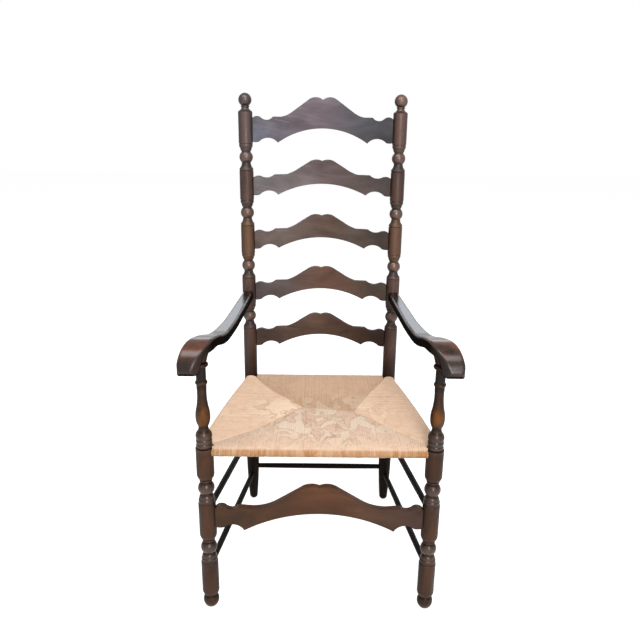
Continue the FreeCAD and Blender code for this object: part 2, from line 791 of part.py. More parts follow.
# Front legs
def leg_blank():
    """Radius against height of a front leg before its waists are cut, from foot to arm tenon."""
    radius = size.leg_radius
    root = radius - size.ring_depth
    column = size.column_radius
    outline = Outline(0, 0)
    outline.line(size.leg_foot_flat, 0)
    outline.arc(size.leg_ankle_radius, size.leg_foot_height, size.leg_foot_bulge)
    outline.arc(radius, size.leg_foot_height + size.leg_ankle_height, size.leg_ankle_bulge)
    outline.line(radius, leg_barrel_top_z)
    height = leg_barrel_top_z + size.groove_half_width
    outline.line(root, height)
    for ring in range(2):
        height = height + size.ring_height
        outline.arc(root, height, size.ring_bulge)
    height = height + size.top_ring_height
    outline.arc(root - size.top_ring_inset, height, size.top_ring_bulge)
    outline.line(size.collar_radius, height)
    height = height + size.collar_height
    outline.arc(size.vase_neck_radius, height, -size.collar_bulge)
    height = height + size.vase_belly_height
    outline.arc(size.vase_radius, height, size.vase_belly_bulge)
    height = height + size.vase_shoulder_height
    outline.arc(size.vase_shoulder_radius, height, size.vase_shoulder_bulge)
    top_bead_foot = arm_seat_z - size.top_bead_drop - size.bead_half_height
    room = top_bead_foot - height - size.column_start - size.bead_half_height * 2
    height = height + room * size.vase_stem_share
    outline.arc(column, height, -size.vase_stem_bulge)
    height = height + size.column_start
    outline.line(column, height)
    outline.arc(column, height + size.bead_half_height * 2, size.bead_bulge)
    outline.line(column, top_bead_foot)
    outline.arc(column, top_bead_foot + size.bead_half_height * 2, size.top_bead_bulge)
    outline.line(size.capital_neck_radius, arm_seat_z - size.capital_height)
    outline.arc(size.capital_radius, arm_seat_z, -size.capital_bulge)
    outline.line(size.arm_post_radius, arm_seat_z)
    outline.line(size.arm_post_radius, arm_seat_z + size.arm_post_length)
    outline.line(0, arm_seat_z + size.arm_post_length)
    outline.close()
    return outline


def leg_waist():
    """The turned waist between two leg barrels: ovolo, bead, ball, dome and stepped ring."""
    radius = size.leg_radius
    neck = size.leg_neck_radius
    outside = radius + size.turning_margin
    centre = upper_leg_ball_z
    ball_half = (size.leg_ball_radius * size.leg_ball_radius - neck * neck).root()
    dome_foot = centre - size.leg_dome_start - size.leg_dome_height
    groove_z = centre - size.leg_groove_drop
    slope = size.groove_half_width * (size.groove_depth + size.turning_margin) / size.groove_depth
    outline = Outline(outside, groove_z - slope)
    outline.line(outside, centre + size.leg_ovolo_start)
    outline.line(radius, centre + size.leg_ovolo_start)
    outline.arc(size.leg_bead_radius, centre + size.leg_ovolo_end, -size.leg_ovolo_bulge)
    outline.arc(size.leg_bead_radius, centre + size.leg_bead_foot, -size.leg_bead_bulge)
    outline.line(neck, centre + ball_half)
    outline.arc(neck, centre - ball_half, -(size.leg_ball_radius - neck))
    outline.line(neck, centre - size.leg_dome_start)
    outline.arc(size.leg_dome_radius, dome_foot, -size.leg_dome_bulge)
    outline.arc(radius - size.groove_depth, dome_foot - size.leg_step_height, -size.leg_step_bulge)
    outline.line(radius - size.groove_depth, groove_z)
    outline.close()
    return outline


for word, side in SIDES.items():
    name = "front_leg_" + word
    body = new_body(name + "_turned")
    place(body, leg_x * side, front_y, 0)
    turn(body, name + "_blank", leg_blank())
    turned_waists(body, name + "_waist", leg_waist(), 2, size.leg_ball_pitch)
    tools = [
        bores["seat_rail_front"], bores["seat_rail_" + word], front_board_mortise,
        bores["side_stretcher_upper_" + word], bores["side_stretcher_lower_" + word]]
    pieces[name] = cut(name, body, tools)


# Arms: a side profile padded across, then sawn to the plan outline and rounded
def arm_side_outline():
    """Depth from the front leg's axis against height, for the length of the arm."""
    thick = size.arm_thickness
    back_top = arm_z + thick / 2
    back_low = arm_z - thick / 2
    dip_top = back_top - size.arm_dip
    dip_low = dip_top - thick
    crest_top = arm_seat_z + thick
    nose = (-size.arm_reach, arm_seat_z - size.arm_hand_drop + size.arm_hand_depth * size.arm_nose_share)
    hand_back = (size.arm_hand_depth - size.arm_reach,
                 arm_seat_z - size.arm_hand_drop + size.arm_hand_depth * size.arm_hollow_share)
    seat_half = size.capital_radius + size.arm_seat_margin
    knee = size.arm_dip_depth / 2
    top = [(size.leg_to_post, back_top), (size.arm_dip_depth, dip_top), (knee, (crest_top + dip_top) / 2),
           (size.arm_crest_depth, crest_top), nose, hand_back, (-seat_half, arm_seat_z)]
    low = [(size.leg_to_post, back_low), (size.arm_dip_depth, dip_low), (knee, (arm_seat_z + dip_low) / 2),
           (seat_half, arm_seat_z)]
    top_bulges = smooth_bulges("arm_top", top)
    low_bulges = smooth_bulges("arm_low", low)
    outline = Outline(*top[0])
    outline.line(*top[1])
    for point, bulge in zip(top[2:], top_bulges):
        outline.arc(*point, bulge)
    outline.line(*low[-1])
    for point, bulge in zip(reversed(low[1:-1]), reversed(low_bulges)):
        outline.arc(*point, -bulge)
    outline.line(*low[0])
    outline.close()
    return outline


def arm_edge(name, edge, middle):
    """One long edge of the arm seen from above, with its smooth bulges; edge is 1 outside and -1 inside."""
    front_x = leg_x + size.arm_front_outset - middle + size.arm_front_width / 2 * edge
    points = [
        (post_x - middle + size.arm_back_width / 2 * edge, size.leg_to_post + size.arm_seat_margin),
        (leg_x - size.arm_waist_inset - middle + size.arm_waist_width / 2 * edge, size.arm_waist_depth),
        (leg_x - size.arm_hand_inset - middle + size.arm_hand_width / 2 * edge, size.arm_hand_start),
        (front_x, size.arm_corner_length - size.arm_reach),
        (front_x - size.arm_corner_length * edge, -size.arm_reach - size.arm_front_margin)]
    return points, smooth_bulges(name, points)


def arm_plan_outline(side, middle, edges):
    """Distance from the arm blank's middle plane against depth, seen from above."""
    (outer, outer_bulges), (inner, inner_bulges) = edges
    outline = Outline(*inner[-1], side)
    outline.line(*outer[-1])
    for point, bulge in zip(reversed(outer[1:-1]), reversed(outer_bulges)):
        outline.arc(*point, -bulge)
    outline.line(*outer[0])
    outline.line(*inner[0])
    outline.line(*inner[1])
    for point, bulge in zip(inner[2:-1], inner_bulges[:-1]):
        outline.arc(*point, bulge)
    outline.close(inner_bulges[-1])
    return outline


def long_edges(shape):
    """Names of the edges that run along the arm, apart from those of its level seat on the leg."""
    return [
        "Edge%d" % number for number, edge in enumerate(shape.Edges, start=1)
        if edge.BoundBox.YLength > 1 and edge.BoundBox.ZLength > 0.01]


arm_middle = leg_x - size.arm_waist_inset / 2
arm_side = arm_side_outline()
arm_edges = (arm_edge("arm_outer", 1, arm_middle), arm_edge("arm_inner", -1, arm_middle))
for word, side in SIDES.items():
    name = "arm_" + word
    body = new_body(name + "_shaped")
    place(body, arm_middle * side, front_y, 0)
    pad(body, name + "_side_profile", "YZ_Plane", arm_side, size.front_leg_spacing / 3)
    sawn = trim(body, name + "_plan_outline", "XY_Plane", arm_plan_outline(side, arm_middle, arm_edges),
                size.front_leg_spacing / 3, -size.arm_reach - size.cut_margin * 2,
                size.leg_to_post + size.cut_margin * 2)
    doc.recompute()
    softening = new_feature(body, "PartDesign::Fillet", name + "_softened_edges")
    softening.Base = (sawn, long_edges(sawn.Shape))
    bind(softening, Radius=size.arm_edge_radius)
    tenon = tool_cylinder(
        name + "_tenon", size.arm_tenon_radius,
        (post_x * side, back_y, arm_z), (post_x * side, front_y, arm_z),
        arm_reach_in_post, size.post_radius + size.cut_margin)
    cope = tool_cylinder(
        name + "_cope", size.post_radius + size.joint_clearance,
        (post_x * side, back_y, arm_z - size.arm_thickness), (post_x * side, back_y, arm_z),
        -size.arm_thickness, size.arm_thickness * 3)
    leg_bore = tool_cylinder(
        name + "_leg_bore", size.arm_post_radius + size.joint_clearance,
        (leg_x * side, front_y, arm_seat_z), (leg_x * side, front_y, arm_z + size.arm_thickness),
        -size.cut_margin, size.arm_post_length + size.joint_gap)
    coped = cut(name + "_coped", body, [cope, leg_bore])
    piece = add("Part::MultiFuse", name)
    piece.Shapes = [coped, tenon]
    pieces[name] = piece


# Rush seat, woven round the four rails, with its stuffing between the two layers
seat_run = distance(size.leg_to_post, size.seat_front_height - size.seat_back_height)
seat_slope = (leg_x - post_x) / seat_run


def place_on_seat(item):
    """Lay an object's own XY plane on the plane of the rail axes, with its origin at the front."""
    item.setExpression(
        "Placement",
        "placement(vector(0; %s; %s); rotation(vector(1; 0; 0); atan2(%s; %s)))"
        % (front_y.formula, front_rail_z.formula,
           (size.seat_back_height - size.seat_front_height).formula, size.leg_to_post.formula))


def seat_plan(points, bow=None):
    """A closed plan from its right half of four points, front to back, with bowed or straight sides."""
    front, front_side, back_side, back = points
    outline = Outline(*front)
    outline.line(*front_side)
    if bow is None:
        outline.line(*back_side)
    else:
        outline.arc(*back_side, bow)
    outline.line(*back)
    outline.line(-back[0], back[1])
    outline.line(-back_side[0], back_side[1])
    if bow is None:
        outline.line(-front_side[0], front_side[1])
    else:
        outline.arc(-front_side[0], front_side[1], bow)
    outline.line(-front[0], front[1])
    outline.close()
    return outline


def stuffing_outline(margin, corner):
    """Plan of the stuffing, inside the rails and clear of the four uprights."""
    return seat_plan([
        (leg_x - corner, margin),
        (leg_x - seat_slope * corner - margin, corner),
        (post_x + seat_slope * corner - margin, seat_run - corner),
        (post_x - corner, seat_run - margin)])


stuffing_half = roll_radius - size.rush_thickness - size.rush_clearance
stuffing = new_body("seat_stuffing")
place_on_seat(stuffing)
pad(stuffing, "stuffing_bundle", "XY_Plane",
    stuffing_outline(size.stuffing_margin, size.stuffing_corner), stuffing_half * 2)
pieces["seat_stuffing"] = stuffing
cavity = new_body("stuffing_cavity")
place_on_seat(cavity)
pad(cavity, "stuffing_cavity_blank", "XY_Plane",
    stuffing_outline(size.stuffing_margin - size.rush_clearance, size.stuffing_corner - size.rush_clearance),
    (stuffing_half + size.rush_clearance) * 2)

rush = new_body("rush_weave")
place_on_seat(rush)
slab = pad(rush, "rush_slab", "XY_Plane", seat_plan([
    (leg_x, -roll_radius),
    (leg_x + size.rush_front_overhang, roll_radius * size.rush_edge_flat),
    (post_x + size.rush_back_overhang, seat_run - roll_radius * size.rush_edge_flat),
    (post_x, seat_run + roll_radius)], size.rush_side_bow), roll_radius * 2)
doc.recompute()
level_faces = [
    "Face%d" % number for number, face in enumerate(slab.Shape.Faces, start=1)
    if face.BoundBox.ZLength < 0.01]
rounding = new_feature(rush, "PartDesign::Fillet", "rush_edge_round")
rounding.Base = (slab, level_faces)
bind(rounding, Radius=roll_radius - size.rush_clearance)

seams = new_sketch(rush, "rush_seam_lines", "XY_Plane")
bind(seams, AttachmentOffset__Base__z=roll_radius - size.seam_depth)
for side in SIDES.values():
    apex_x = size.seam_apex_inset
    seam = Outline(leg_x, 0, side)
    seam.line(apex_x + size.seam_half_width, size.seam_apex_depth)
    seam.line(post_x, seat_run)
    seam.line(apex_x - size.seam_half_width, size.seam_apex_depth)
    seam.close()
    seam.draw(seams)
seam_cut = new_feature(rush, "PartDesign::Pocket", "rush_seams")
seam_cut.Profile = seams
seam_cut.Reversed = True
seam_cut.Type = "ThroughAll"

rush_tools = [cavity]
for name, start, end in (
        ("front", front_left_rail, front_right_rail), ("rear", back_left_rail, back_right_rail),
        ("left", front_left_rail, back_left_rail), ("right", front_right_rail, back_right_rail)):
    rush_tools.append(tool_cylinder(
        "rush_channel_" + name, size.rail_radius + size.rush_clearance, start, end,
        Size(0), distance(*[b - a for a, b in zip(start, end)])))
for word, side in SIDES.items():
    for upright, x, y, radius in (("leg", leg_x, front_y, size.leg_radius),
                                  ("post", post_x, back_y, size.post_radius)):
        rush_tools.append(tool_cylinder(
            "rush_notch_%s_%s" % (upright, word), radius + size.rush_clearance,
            (x * side, y, Size(0)), (x * side, y, size.seat_front_height * 2),
            size.seat_back_height - roll_radius * 4, size.seat_front_height + roll_radius))
pieces["rush_seat"] = cut("rush_seat", rush, rush_tools)

doc.recompute()
for item in created:
    if "Invalid" in item.State or "Error" in item.State:
        raise RuntimeError("%s failed: %s" % (item.Label, item.State))
for name, piece in pieces.items():
    shape = piece.Shape
    if shape.isNull() or not shape.isValid() or len(shape.Solids) != 1:
        raise RuntimeError("%s is not one valid solid" % name)
    shape.exportStep(os.path.join("parts", name + ".step"))
    print("%-28s volume %9.0f mm3, faces %3d" % (name, shape.Volume, len(shape.Faces)))
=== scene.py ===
# %% [markdown]
# A ladderback armchair in Blender: turned posts, arched slats, scrolled arms and a rush seat.
# The wooden frame comes measured and jointed. This lesson loads it, gives it stained wood,
# weaves the seat out of single twisted cords, and sets up the studio that it stands in.

# %% Load the chair's frame
import math
import random

import bmesh
import bpy
from mathutils import Matrix, Vector, noise


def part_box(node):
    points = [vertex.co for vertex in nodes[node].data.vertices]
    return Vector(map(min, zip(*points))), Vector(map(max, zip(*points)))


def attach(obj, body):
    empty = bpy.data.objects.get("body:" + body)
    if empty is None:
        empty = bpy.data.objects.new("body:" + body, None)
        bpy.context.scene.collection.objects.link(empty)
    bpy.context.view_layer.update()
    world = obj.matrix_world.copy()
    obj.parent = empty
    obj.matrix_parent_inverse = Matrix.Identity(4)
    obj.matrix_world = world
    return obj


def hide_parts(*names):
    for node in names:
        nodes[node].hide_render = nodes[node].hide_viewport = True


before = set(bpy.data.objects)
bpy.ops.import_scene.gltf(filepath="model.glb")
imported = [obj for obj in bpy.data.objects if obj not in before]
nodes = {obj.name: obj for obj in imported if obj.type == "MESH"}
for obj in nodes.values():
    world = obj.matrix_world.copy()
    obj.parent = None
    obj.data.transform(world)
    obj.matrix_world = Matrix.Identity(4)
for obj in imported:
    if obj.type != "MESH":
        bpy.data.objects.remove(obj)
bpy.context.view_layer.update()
print("pieces of the frame:", len(nodes))

# %% [markdown]
# The camera stands where the photograph was taken: a metre and a third in front of the seat,
# nearly as high as the finials, looking down. Its three turns are easier to read one by one
# than as Blender's own rotation, so the matrix is put together from them.

# %% Camera
CAMERA_PLACE = Vector((-0.0079, -1.55675, 1.1697))
LOOK_DOWN = math.radians(17.6265)
LOOK_LEFT = math.radians(-0.2035)
TILT = math.radians(0.6531)
SENSOR_WIDTH = 36
FOCAL_SHARE = 650 / 640


def camera_matrix(place, down, left, tilt):
    """The camera's place and turn, from how far it looks down and left and how far it tilts."""
    right = Vector((math.cos(left), math.sin(left), 0))
    ahead = Vector((-math.sin(left), math.cos(left), 0))
    forward = ahead * math.cos(down) - Vector((0, 0, math.sin(down)))
    up = ahead * math.sin(down) + Vector((0, 0, math.cos(down)))
    tilted_right = right * math.cos(tilt) + up * math.sin(tilt)
    tilted_up = up * math.cos(tilt) - right * math.sin(tilt)
    turn = Matrix((tilted_right, tilted_up, -forward)).transposed().to_4x4()
    return Matrix.Translation(place) @ turn


camera_data = bpy.data.cameras.new("camera")
camera_data.sensor_width = SENSOR_WIDTH
camera_data.lens = SENSOR_WIDTH * FOCAL_SHARE
camera = bpy.data.objects.new("camera", camera_data)
bpy.context.scene.collection.objects.link(camera)
camera.matrix_world = camera_matrix(CAMERA_PLACE, LOOK_DOWN, LOOK_LEFT, TILT)
bpy.context.scene.camera = camera
print("camera's angle of view:", round(math.degrees(camera_data.angle), 1), "degrees")

# %% [markdown]
# The seat is woven round four rails that lie in one gently sloping plane. It is easiest to
# weave flat: x runs along the front rail, y from the front rail to the back rail, and z
# stands on the rails' plane. One matrix then lays the finished weave on the chair. All the
# sizes come from the frame's own rails and uprights, so the weave fits whatever it is given.

# %% The plane of the seat
front_low, front_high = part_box("seat_rail_front")
rear_low, rear_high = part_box("seat_rail_rear")
front_rail = Vector((0, (front_low.y + front_high.y) / 2, (front_low.z + front_high.z) / 2))
rear_rail = Vector((0, (rear_low.y + rear_high.y) / 2, (rear_low.z + rear_high.z) / 2))
rail_radius = (front_high.z - front_low.z) / 2
seat_run = (rear_rail - front_rail).length
seat_slope = math.atan2(rear_rail.z - front_rail.z, rear_rail.y - front_rail.y)
seat_place = Matrix.Translation(front_rail) @ Matrix.Rotation(seat_slope, 4, "X")


def upright(name):
    """The distance of an upright's axis from the middle of the chair, and its radius."""
    low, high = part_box(name)
    return (low.x + high.x) / 2, (high.x - low.x) / 2


leg_x, leg_radius = upright("front_leg_right")
post_x, post_radius = upright("back_post_right")
print("seat:", round(leg_x * 2, 3), "to", round(post_x * 2, 3), "wide,", round(seat_run, 3), "deep")

# %% [markdown]
# Every cord of a rush seat goes over a rail, round it and back underneath, and dives into the
# mitre line, the seam where two neighbouring panels meet. The four panels are drawn by their
# seams: two lines from the front legs and two from the back posts, which meet at two points
# near the middle. A seat woven by hand is never quite even, so the two points differ a little.

# %% Seams of the four panels
LEFT_APEX = (-0.045, 0.237)
RIGHT_APEX = (0.088, 0.213)
FRONT_SEAM = [(-leg_x, 0.0), (-0.150, 0.106), LEFT_APEX, RIGHT_APEX, (leg_x, 0.0)]
BACK_SEAM = [(-post_x, seat_run), (-0.131, 0.350), LEFT_APEX, RIGHT_APEX, (0.146, 0.357),
             (post_x, seat_run)]
LEFT_SEAM = FRONT_SEAM[:3] + BACK_SEAM[1::-1]
RIGHT_SEAM = FRONT_SEAM[:2:-1] + BACK_SEAM[4:]


def crossing(seam, place, axis):
    """Where a seam crosses the line on which this axis has this value: the other coordinate."""
    for start, end in zip(seam, seam[1:]):
        low, high = sorted((start[axis], end[axis]))
        if low <= place <= high and high > low:
            share = (place - start[axis]) / (end[axis] - start[axis])
            return start[1 - axis] + (end[1 - axis] - start[1 - axis]) * share
    raise ValueError("no seam at %.4f" % place)


print("seams cross the middle at", round(crossing(FRONT_SEAM, 0.0, 0), 3), "from the front rail")

# %% [markdown]
# One cord is a flattened tube. A ring of six points is extruded along the cord's line, and
# each new ring is moved on from the last by a matrix. The ring keeps its width along the rail
# and turns only with the line, as a cord does that is pressed against its neighbours. The
# tube is unwrapped while it grows: one direction of the map runs along the cord in
# centimetres, the other once round it, so that a twist can be painted on it later.

# %% One cord
CORD_PITCH = 0.0047
CORD_THICKNESS = 0.0035
CORD_SIDES = 6


def ring_matrix(path, index, across, wide, thick):
    """Place, turn and size of one ring of a cord."""
    before = path[max(index - 1, 0)]
    after = path[min(index + 1, len(path) - 1)]
    along = (after - before).normalized()
    upward = across.cross(along).normalized()
    turn = Matrix((across, upward, along)).transposed().to_4x4()
    size = Matrix.Diagonal((wide / 2, thick / 2, 1, 1))
    return Matrix.Translation(path[index]) @ turn @ size


def cord_mesh(path, across, wide, thick):
    """A closed, unwrapped tube along a path."""
    bm = bmesh.new()
    unwrap = bm.loops.layers.uv.new("cord")
    placed = ring_matrix(path, 0, across, wide, thick)
    ring = bmesh.ops.create_circle(bm, cap_ends=True, radius=1, segments=CORD_SIDES, matrix=placed)
    side = {vert: number for number, vert in enumerate(ring["verts"])}
    reach = {vert: 0.0 for vert in side}
    edges = list(bm.edges)
    travelled = 0.0
    for index in range(1, len(path)):
        travelled += (path[index] - path[index - 1]).length
        grown = bmesh.ops.extrude_edge_only(bm, edges=edges)["geom"]
        verts = [item for item in grown if isinstance(item, bmesh.types.BMVert)]
        for vert in verts:
            old = next(edge.other_vert(vert) for edge in vert.link_edges
                       if edge.other_vert(vert) in side and edge.other_vert(vert) not in verts)
            side[vert] = side[old]
            reach[vert] = travelled
        moved = ring_matrix(path, index, across, wide, thick)
        bmesh.ops.transform(bm, matrix=moved @ placed.inverted(), verts=verts)
        placed = moved
        edges = [item for item in grown if isinstance(item, bmesh.types.BMEdge)
                 and all(vert in verts for vert in item.verts)]
    bmesh.ops.contextual_create(bm, geom=edges)
    bmesh.ops.recalc_face_normals(bm, faces=bm.faces)
    for face in bm.faces:
        wraps = {side[vert] for vert in face.verts} == {0, CORD_SIDES - 1}
        for loop in face.loops:
            turn = 1.0 if wraps and side[loop.vert] == 0 else side[loop.vert] / CORD_SIDES
            loop[unwrap].uv = (reach[loop.vert] * 100, turn)
        face.smooth = len(face.verts) == 4
    return bm


print("a cord is", CORD_THICKNESS * 1000, "mm thick and has", CORD_SIDES, "sides")

# %% [markdown]
# The line of one cord is drawn in its own flat section: how far it is from the rail's axis,
# and how high. It comes up out of the seam, runs level to the rail, turns down round the
# roll and goes back underneath in the same way. The roll is rounder and fuller than the rail
# alone, because the first turns of a seat are padded, so it gets its own centre and radius.
# The shortest cords, in the corners, reach a little past the seam, or a hole would show there.

# %% The line of a cord
ROLL_RADIUS = rail_radius + CORD_THICKNESS
TOP = ROLL_RADIUS - CORD_THICKNESS / 2
ROLL_ROUNDING = ROLL_RADIUS - 0.0003 - CORD_THICKNESS / 2
ROLL_STEPS = 6
SAG = 0.003
SAG_REACH = 0.22
CORNER_REACH = 0.045
CORNER_EXTRA = 0.006
COMES_UP = ((0.0012, 0.50), (-0.0008, 0.80))
LEVEL_BEFORE_SEAM = 0.0055
LEVEL_SHARES = (0.62, 0.28)
UNDER_BEFORE_SEAM = 0.0075


def seat_sag(x, y):
    """How far use has pressed the seat down, most of all in its middle."""
    across = max(0.0, 1 - (x / SAG_REACH) ** 2)
    along = max(0.0, 1 - ((y - SAG_REACH) / SAG_REACH) ** 2)
    return SAG * across * along


def section(reach, outset, seam_drop):
    """Points of a cord's line as distance inwards from the rail and height, from seam to seam."""
    centre = ROLL_ROUNDING + CORD_THICKNESS / 2 - outset
    reach += CORNER_EXTRA * max(0.0, 1 - reach / CORNER_REACH)
    level_end = reach - LEVEL_BEFORE_SEAM
    line = [(reach + past, TOP * share) for past, share in COMES_UP]
    line.append((level_end, TOP - seam_drop))
    line += [(centre + (level_end - centre) * share, TOP) for share in LEVEL_SHARES]
    for step in range(ROLL_STEPS + 1):
        angle = math.radians(90 - 180 * step / ROLL_STEPS)
        line.append((centre - ROLL_ROUNDING * math.cos(angle), ROLL_ROUNDING * math.sin(angle)))
    line.append((reach - UNDER_BEFORE_SEAM, -TOP + 0.0005))
    line.append((reach - 0.001, -TOP * 0.5))
    return line


print("points in a cord's line:", len(section(0.2, ROLL_RADIUS, 0.001)))

# %% [markdown]
# On the seat a cord is never quite straight: it wanders sideways, bends a little in the
# middle, and lies lower where the seat is pressed down. The last cords of the front rail have
# to squeeze past the leg, so they are pushed outwards there, in front of the leg and again
# behind it. The last cords before a back post climb over one another. All of this only moves
# the points of the flat section, so the tube itself needs nothing new.

# %% How a cord lies on the seat
BEND_LENGTH = 0.2
PUSHED_IN_FRONT = 0.0050
PUSHED_BEHIND = 0.0085
HEAP_HEIGHT = 0.0035
HEAP_LENGTH = 0.030


def past_the_leg(start, inwards, rail_end):
    """How far sideways a cord is pushed near the end of the front rail."""
    share = abs(start.x) / rail_end
    if inwards < 0.004:
        spread = share ** 14 * PUSHED_IN_FRONT
    else:
        spread = share ** 10 * PUSHED_BEHIND * min(1.0, max(0.0, (inwards - 0.006) / 0.014))
    return Vector((math.copysign(spread, start.x), 0, 0))


def heaped(start):
    """How far the last cords before a back post climb over one another."""
    return HEAP_HEIGHT * max(0.0, 1 - (seat_run - post_radius - start.y) / HEAP_LENGTH) ** 1.5


def cord_path(start, inward, across, line, wander, bend, lift, rail_end, heap):
    """The points of a cord, laid inwards from its start on the rail."""
    path = []
    for inwards, height in line:
        point = start + inward * inwards
        if height > TOP * 0.9 and inwards > 0.012:
            height -= seat_sag(point.x, point.y)
            point += across * bend * math.sin(math.pi * min(1, inwards / BEND_LENGTH))
        if rail_end:
            point += past_the_leg(start, inwards, rail_end)
        point += across * wander
        if heap:
            height += heap(start) * min(1.0, max(0.0, height / TOP))
        path.append(Vector((point.x, point.y, height + (lift if height > 0 else -lift))))
    return path


print("a cord in front of the leg is pushed out by", PUSHED_IN_FRONT * 1000, "mm")

# %% [markdown]
# A panel is a row of such cords, laid side by side along its rail. Their widths, heights and
# small sideways wanderings differ, from a seeded generator and from a smooth noise, so the
# row looks woven by hand and still comes out the same each time. Each cord also gets a tint
# of its own, which the finish uses, because no two leaves of rush are the same colour.

# %% A panel of cords
WANDER = 0.0004
BEND = 0.0005
UNEVEN = 0.0005
LIFT = 0.0002
CORD_WIDTHS = (1.36, 1.48)


def weave(name, starts, inward, seam_of, outset_of, drop, seed, rail_end=0, heap=None):
    """One panel: a cord at each start on the rail, out to the seam and round the rail."""
    chance = random.Random(seed)
    inward = Vector(inward)
    across = Vector((-inward.y, inward.x, 0))
    panel = bmesh.new()
    for start in map(Vector, starts):
        wander = chance.uniform(-WANDER, WANDER)
        bend = chance.uniform(-BEND, BEND)
        wave = noise.noise(Vector((start.x * 60, start.y * 60, seed)))
        lift = wave * UNEVEN + chance.uniform(-LIFT, LIFT)
        line = section(seam_of(start), outset_of(start), drop)
        path = cord_path(start, inward, across, line, wander, bend, lift, rail_end, heap)
        cord = cord_mesh(path, across, CORD_PITCH * chance.uniform(*CORD_WIDTHS), CORD_THICKNESS)
        tint = cord.verts.layers.float.new("tint")
        shade = chance.random()
        for vert in cord.verts:
            vert[tint] = shade
        single = bpy.data.meshes.new("cord")
        cord.to_mesh(single)
        cord.free()
        panel.from_mesh(single)
        bpy.data.meshes.remove(single)
    bmesh.ops.transform(panel, matrix=seat_place, verts=panel.verts)
    mesh = bpy.data.meshes.new(name)
    panel.to_mesh(mesh)
    panel.free()
    piece = bpy.data.objects.new(name, mesh)
    bpy.context.scene.collection.objects.link(piece)
    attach(piece, "root")
    print(name, "cords:", len(starts), "faces:", len(mesh.polygons))
    return piece


def row(first, last):
    """Even places for cords from one end of a rail to the other."""
    count = round((last - first) / CORD_PITCH)
    return [first + (last - first) * number / count for number in range(count + 1)]


# %% [markdown]
# The front and back panels have their cords across the rails, from front to back. The side
# panels are narrower at the back, and their cords still run straight across the chair, as a
# weaver lays them. Their roll stands out further from the rail towards the front, where the
# seat is filled out behind the legs.

# %% Four panels
ROLL_OUT_AT_LEG = 0.0188
ROLL_OUT_AT_POST = 0.0123
ROLL_BOW = 0.0065


def rail_x(y):
    """Distance of a side rail's axis from the middle."""
    return leg_x + (post_x - leg_x) * y / seat_run


def side_outset(start):
    """How far the side roll stands out from its rail's axis."""
    share = start.y / seat_run
    bow = ROLL_BOW * 4 * share * (1 - share)
    return ROLL_OUT_AT_LEG + (ROLL_OUT_AT_POST - ROLL_OUT_AT_LEG) * share + bow


leg_gap = leg_x - leg_radius - CORD_PITCH / 2 + 0.0002
post_gap = post_x - post_radius - CORD_PITCH / 2 + 0.0006
front_places = [(x, 0, 0) for x in row(-leg_gap, leg_gap)]
back_places = [(x, seat_run, 0) for x in row(-post_gap, post_gap)]
side_rows = row(leg_radius + 0.001, seat_run - post_radius - 0.0010)

rush_front = weave("rush_front", front_places, (0, 1, 0),
                   lambda start: crossing(FRONT_SEAM, start.x, 0),
                   lambda start: ROLL_RADIUS, 0.0012, 1, leg_gap)
rush_back = weave("rush_back", back_places, (0, -1, 0),
                  lambda start: seat_run - crossing(BACK_SEAM, start.x, 0),
                  lambda start: ROLL_RADIUS, 0.0030, 2)
rush_left = weave("rush_left", [(-rail_x(y), y, 0) for y in side_rows], (1, 0, 0),
                  lambda start: crossing(LEFT_SEAM, start.y, 1) - start.x,
                  side_outset, 0.0008, 3, heap=heaped)
rush_right = weave("rush_right", [(rail_x(y), y, 0) for y in side_rows], (-1, 0, 0),
                   lambda start: start.x - crossing(RIGHT_SEAM, start.y, 1),
                   side_outset, 0.0010, 4, heap=heaped)
for piece in (rush_front, rush_back, rush_left, rush_right):
    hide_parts("rush_seat")

# %% [markdown]
# Between the two layers of cords lies the stuffing, bundles of straw that fill the seat out.
# Hardly any of it shows, but without it light would fall through the crevices. It is a pad
# with cut corners and rounded edges, inset from the rails all round. A flat outline is
# extruded and bevelled, which is all that a hidden filling needs.

# %% Stuffing
PAD_HEIGHT = 0.009
PAD_ROUNDING = 0.004
PAD_INSET = 0.0135
PAD_CORNER = 0.038


def stuffing_pad():
    """The pad between the layers of cords."""
    right = [(leg_x - 0.040, PAD_INSET), (leg_x - 0.0195, PAD_CORNER),
             (post_x - 0.0095, seat_run - PAD_CORNER), (post_x - PAD_CORNER, seat_run - PAD_INSET)]
    left = [(-x, y) for x, y in reversed(right)]
    bm = bmesh.new()
    verts = [bm.verts.new((x, y, -PAD_HEIGHT / 2)) for x, y in right + left]
    base = bm.faces.new(verts)
    grown = bmesh.ops.extrude_face_region(bm, geom=[base])["geom"]
    lifted = [item for item in grown if isinstance(item, bmesh.types.BMVert)]
    bmesh.ops.translate(bm, vec=(0, 0, PAD_HEIGHT), verts=lifted)
    bmesh.ops.recalc_face_normals(bm, faces=bm.faces)
    bmesh.ops.bevel(bm, geom=bm.edges[:], offset=PAD_ROUNDING, segments=3, profile=0.5,
                    affect="EDGES", material=-1)
    bmesh.ops.transform(bm, matrix=seat_place, verts=bm.verts)
    mesh = bpy.data.meshes.new("straw_pad")
    bm.to_mesh(mesh)
    bm.free()
    piece = bpy.data.objects.new("straw_pad", mesh)
    bpy.context.scene.collection.objects.link(piece)
    return piece


straw_pad = stuffing_pad()
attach(straw_pad, "root")
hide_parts("seat_stuffing")
print("stuffing pad faces:", len(straw_pad.data.polygons))

# %% [markdown]
# The finishes are built from nodes, and a few small helpers keep them readable: one adds a
# node with its settings, one gives an input its value, and the others make the nodes that
# every finish uses, such as a noise, a ramp or a mix of two colours by a mask.

# %% Nodes of a finish
def new_finish(name, roughness):
    """A material with its node tree and its shader."""
    material = bpy.data.materials.new(name)
    material.use_nodes = True
    tree = material.node_tree
    shader = tree.nodes["Principled BSDF"]
    shader.inputs["Roughness"].default_value = roughness
    return material, tree, shader


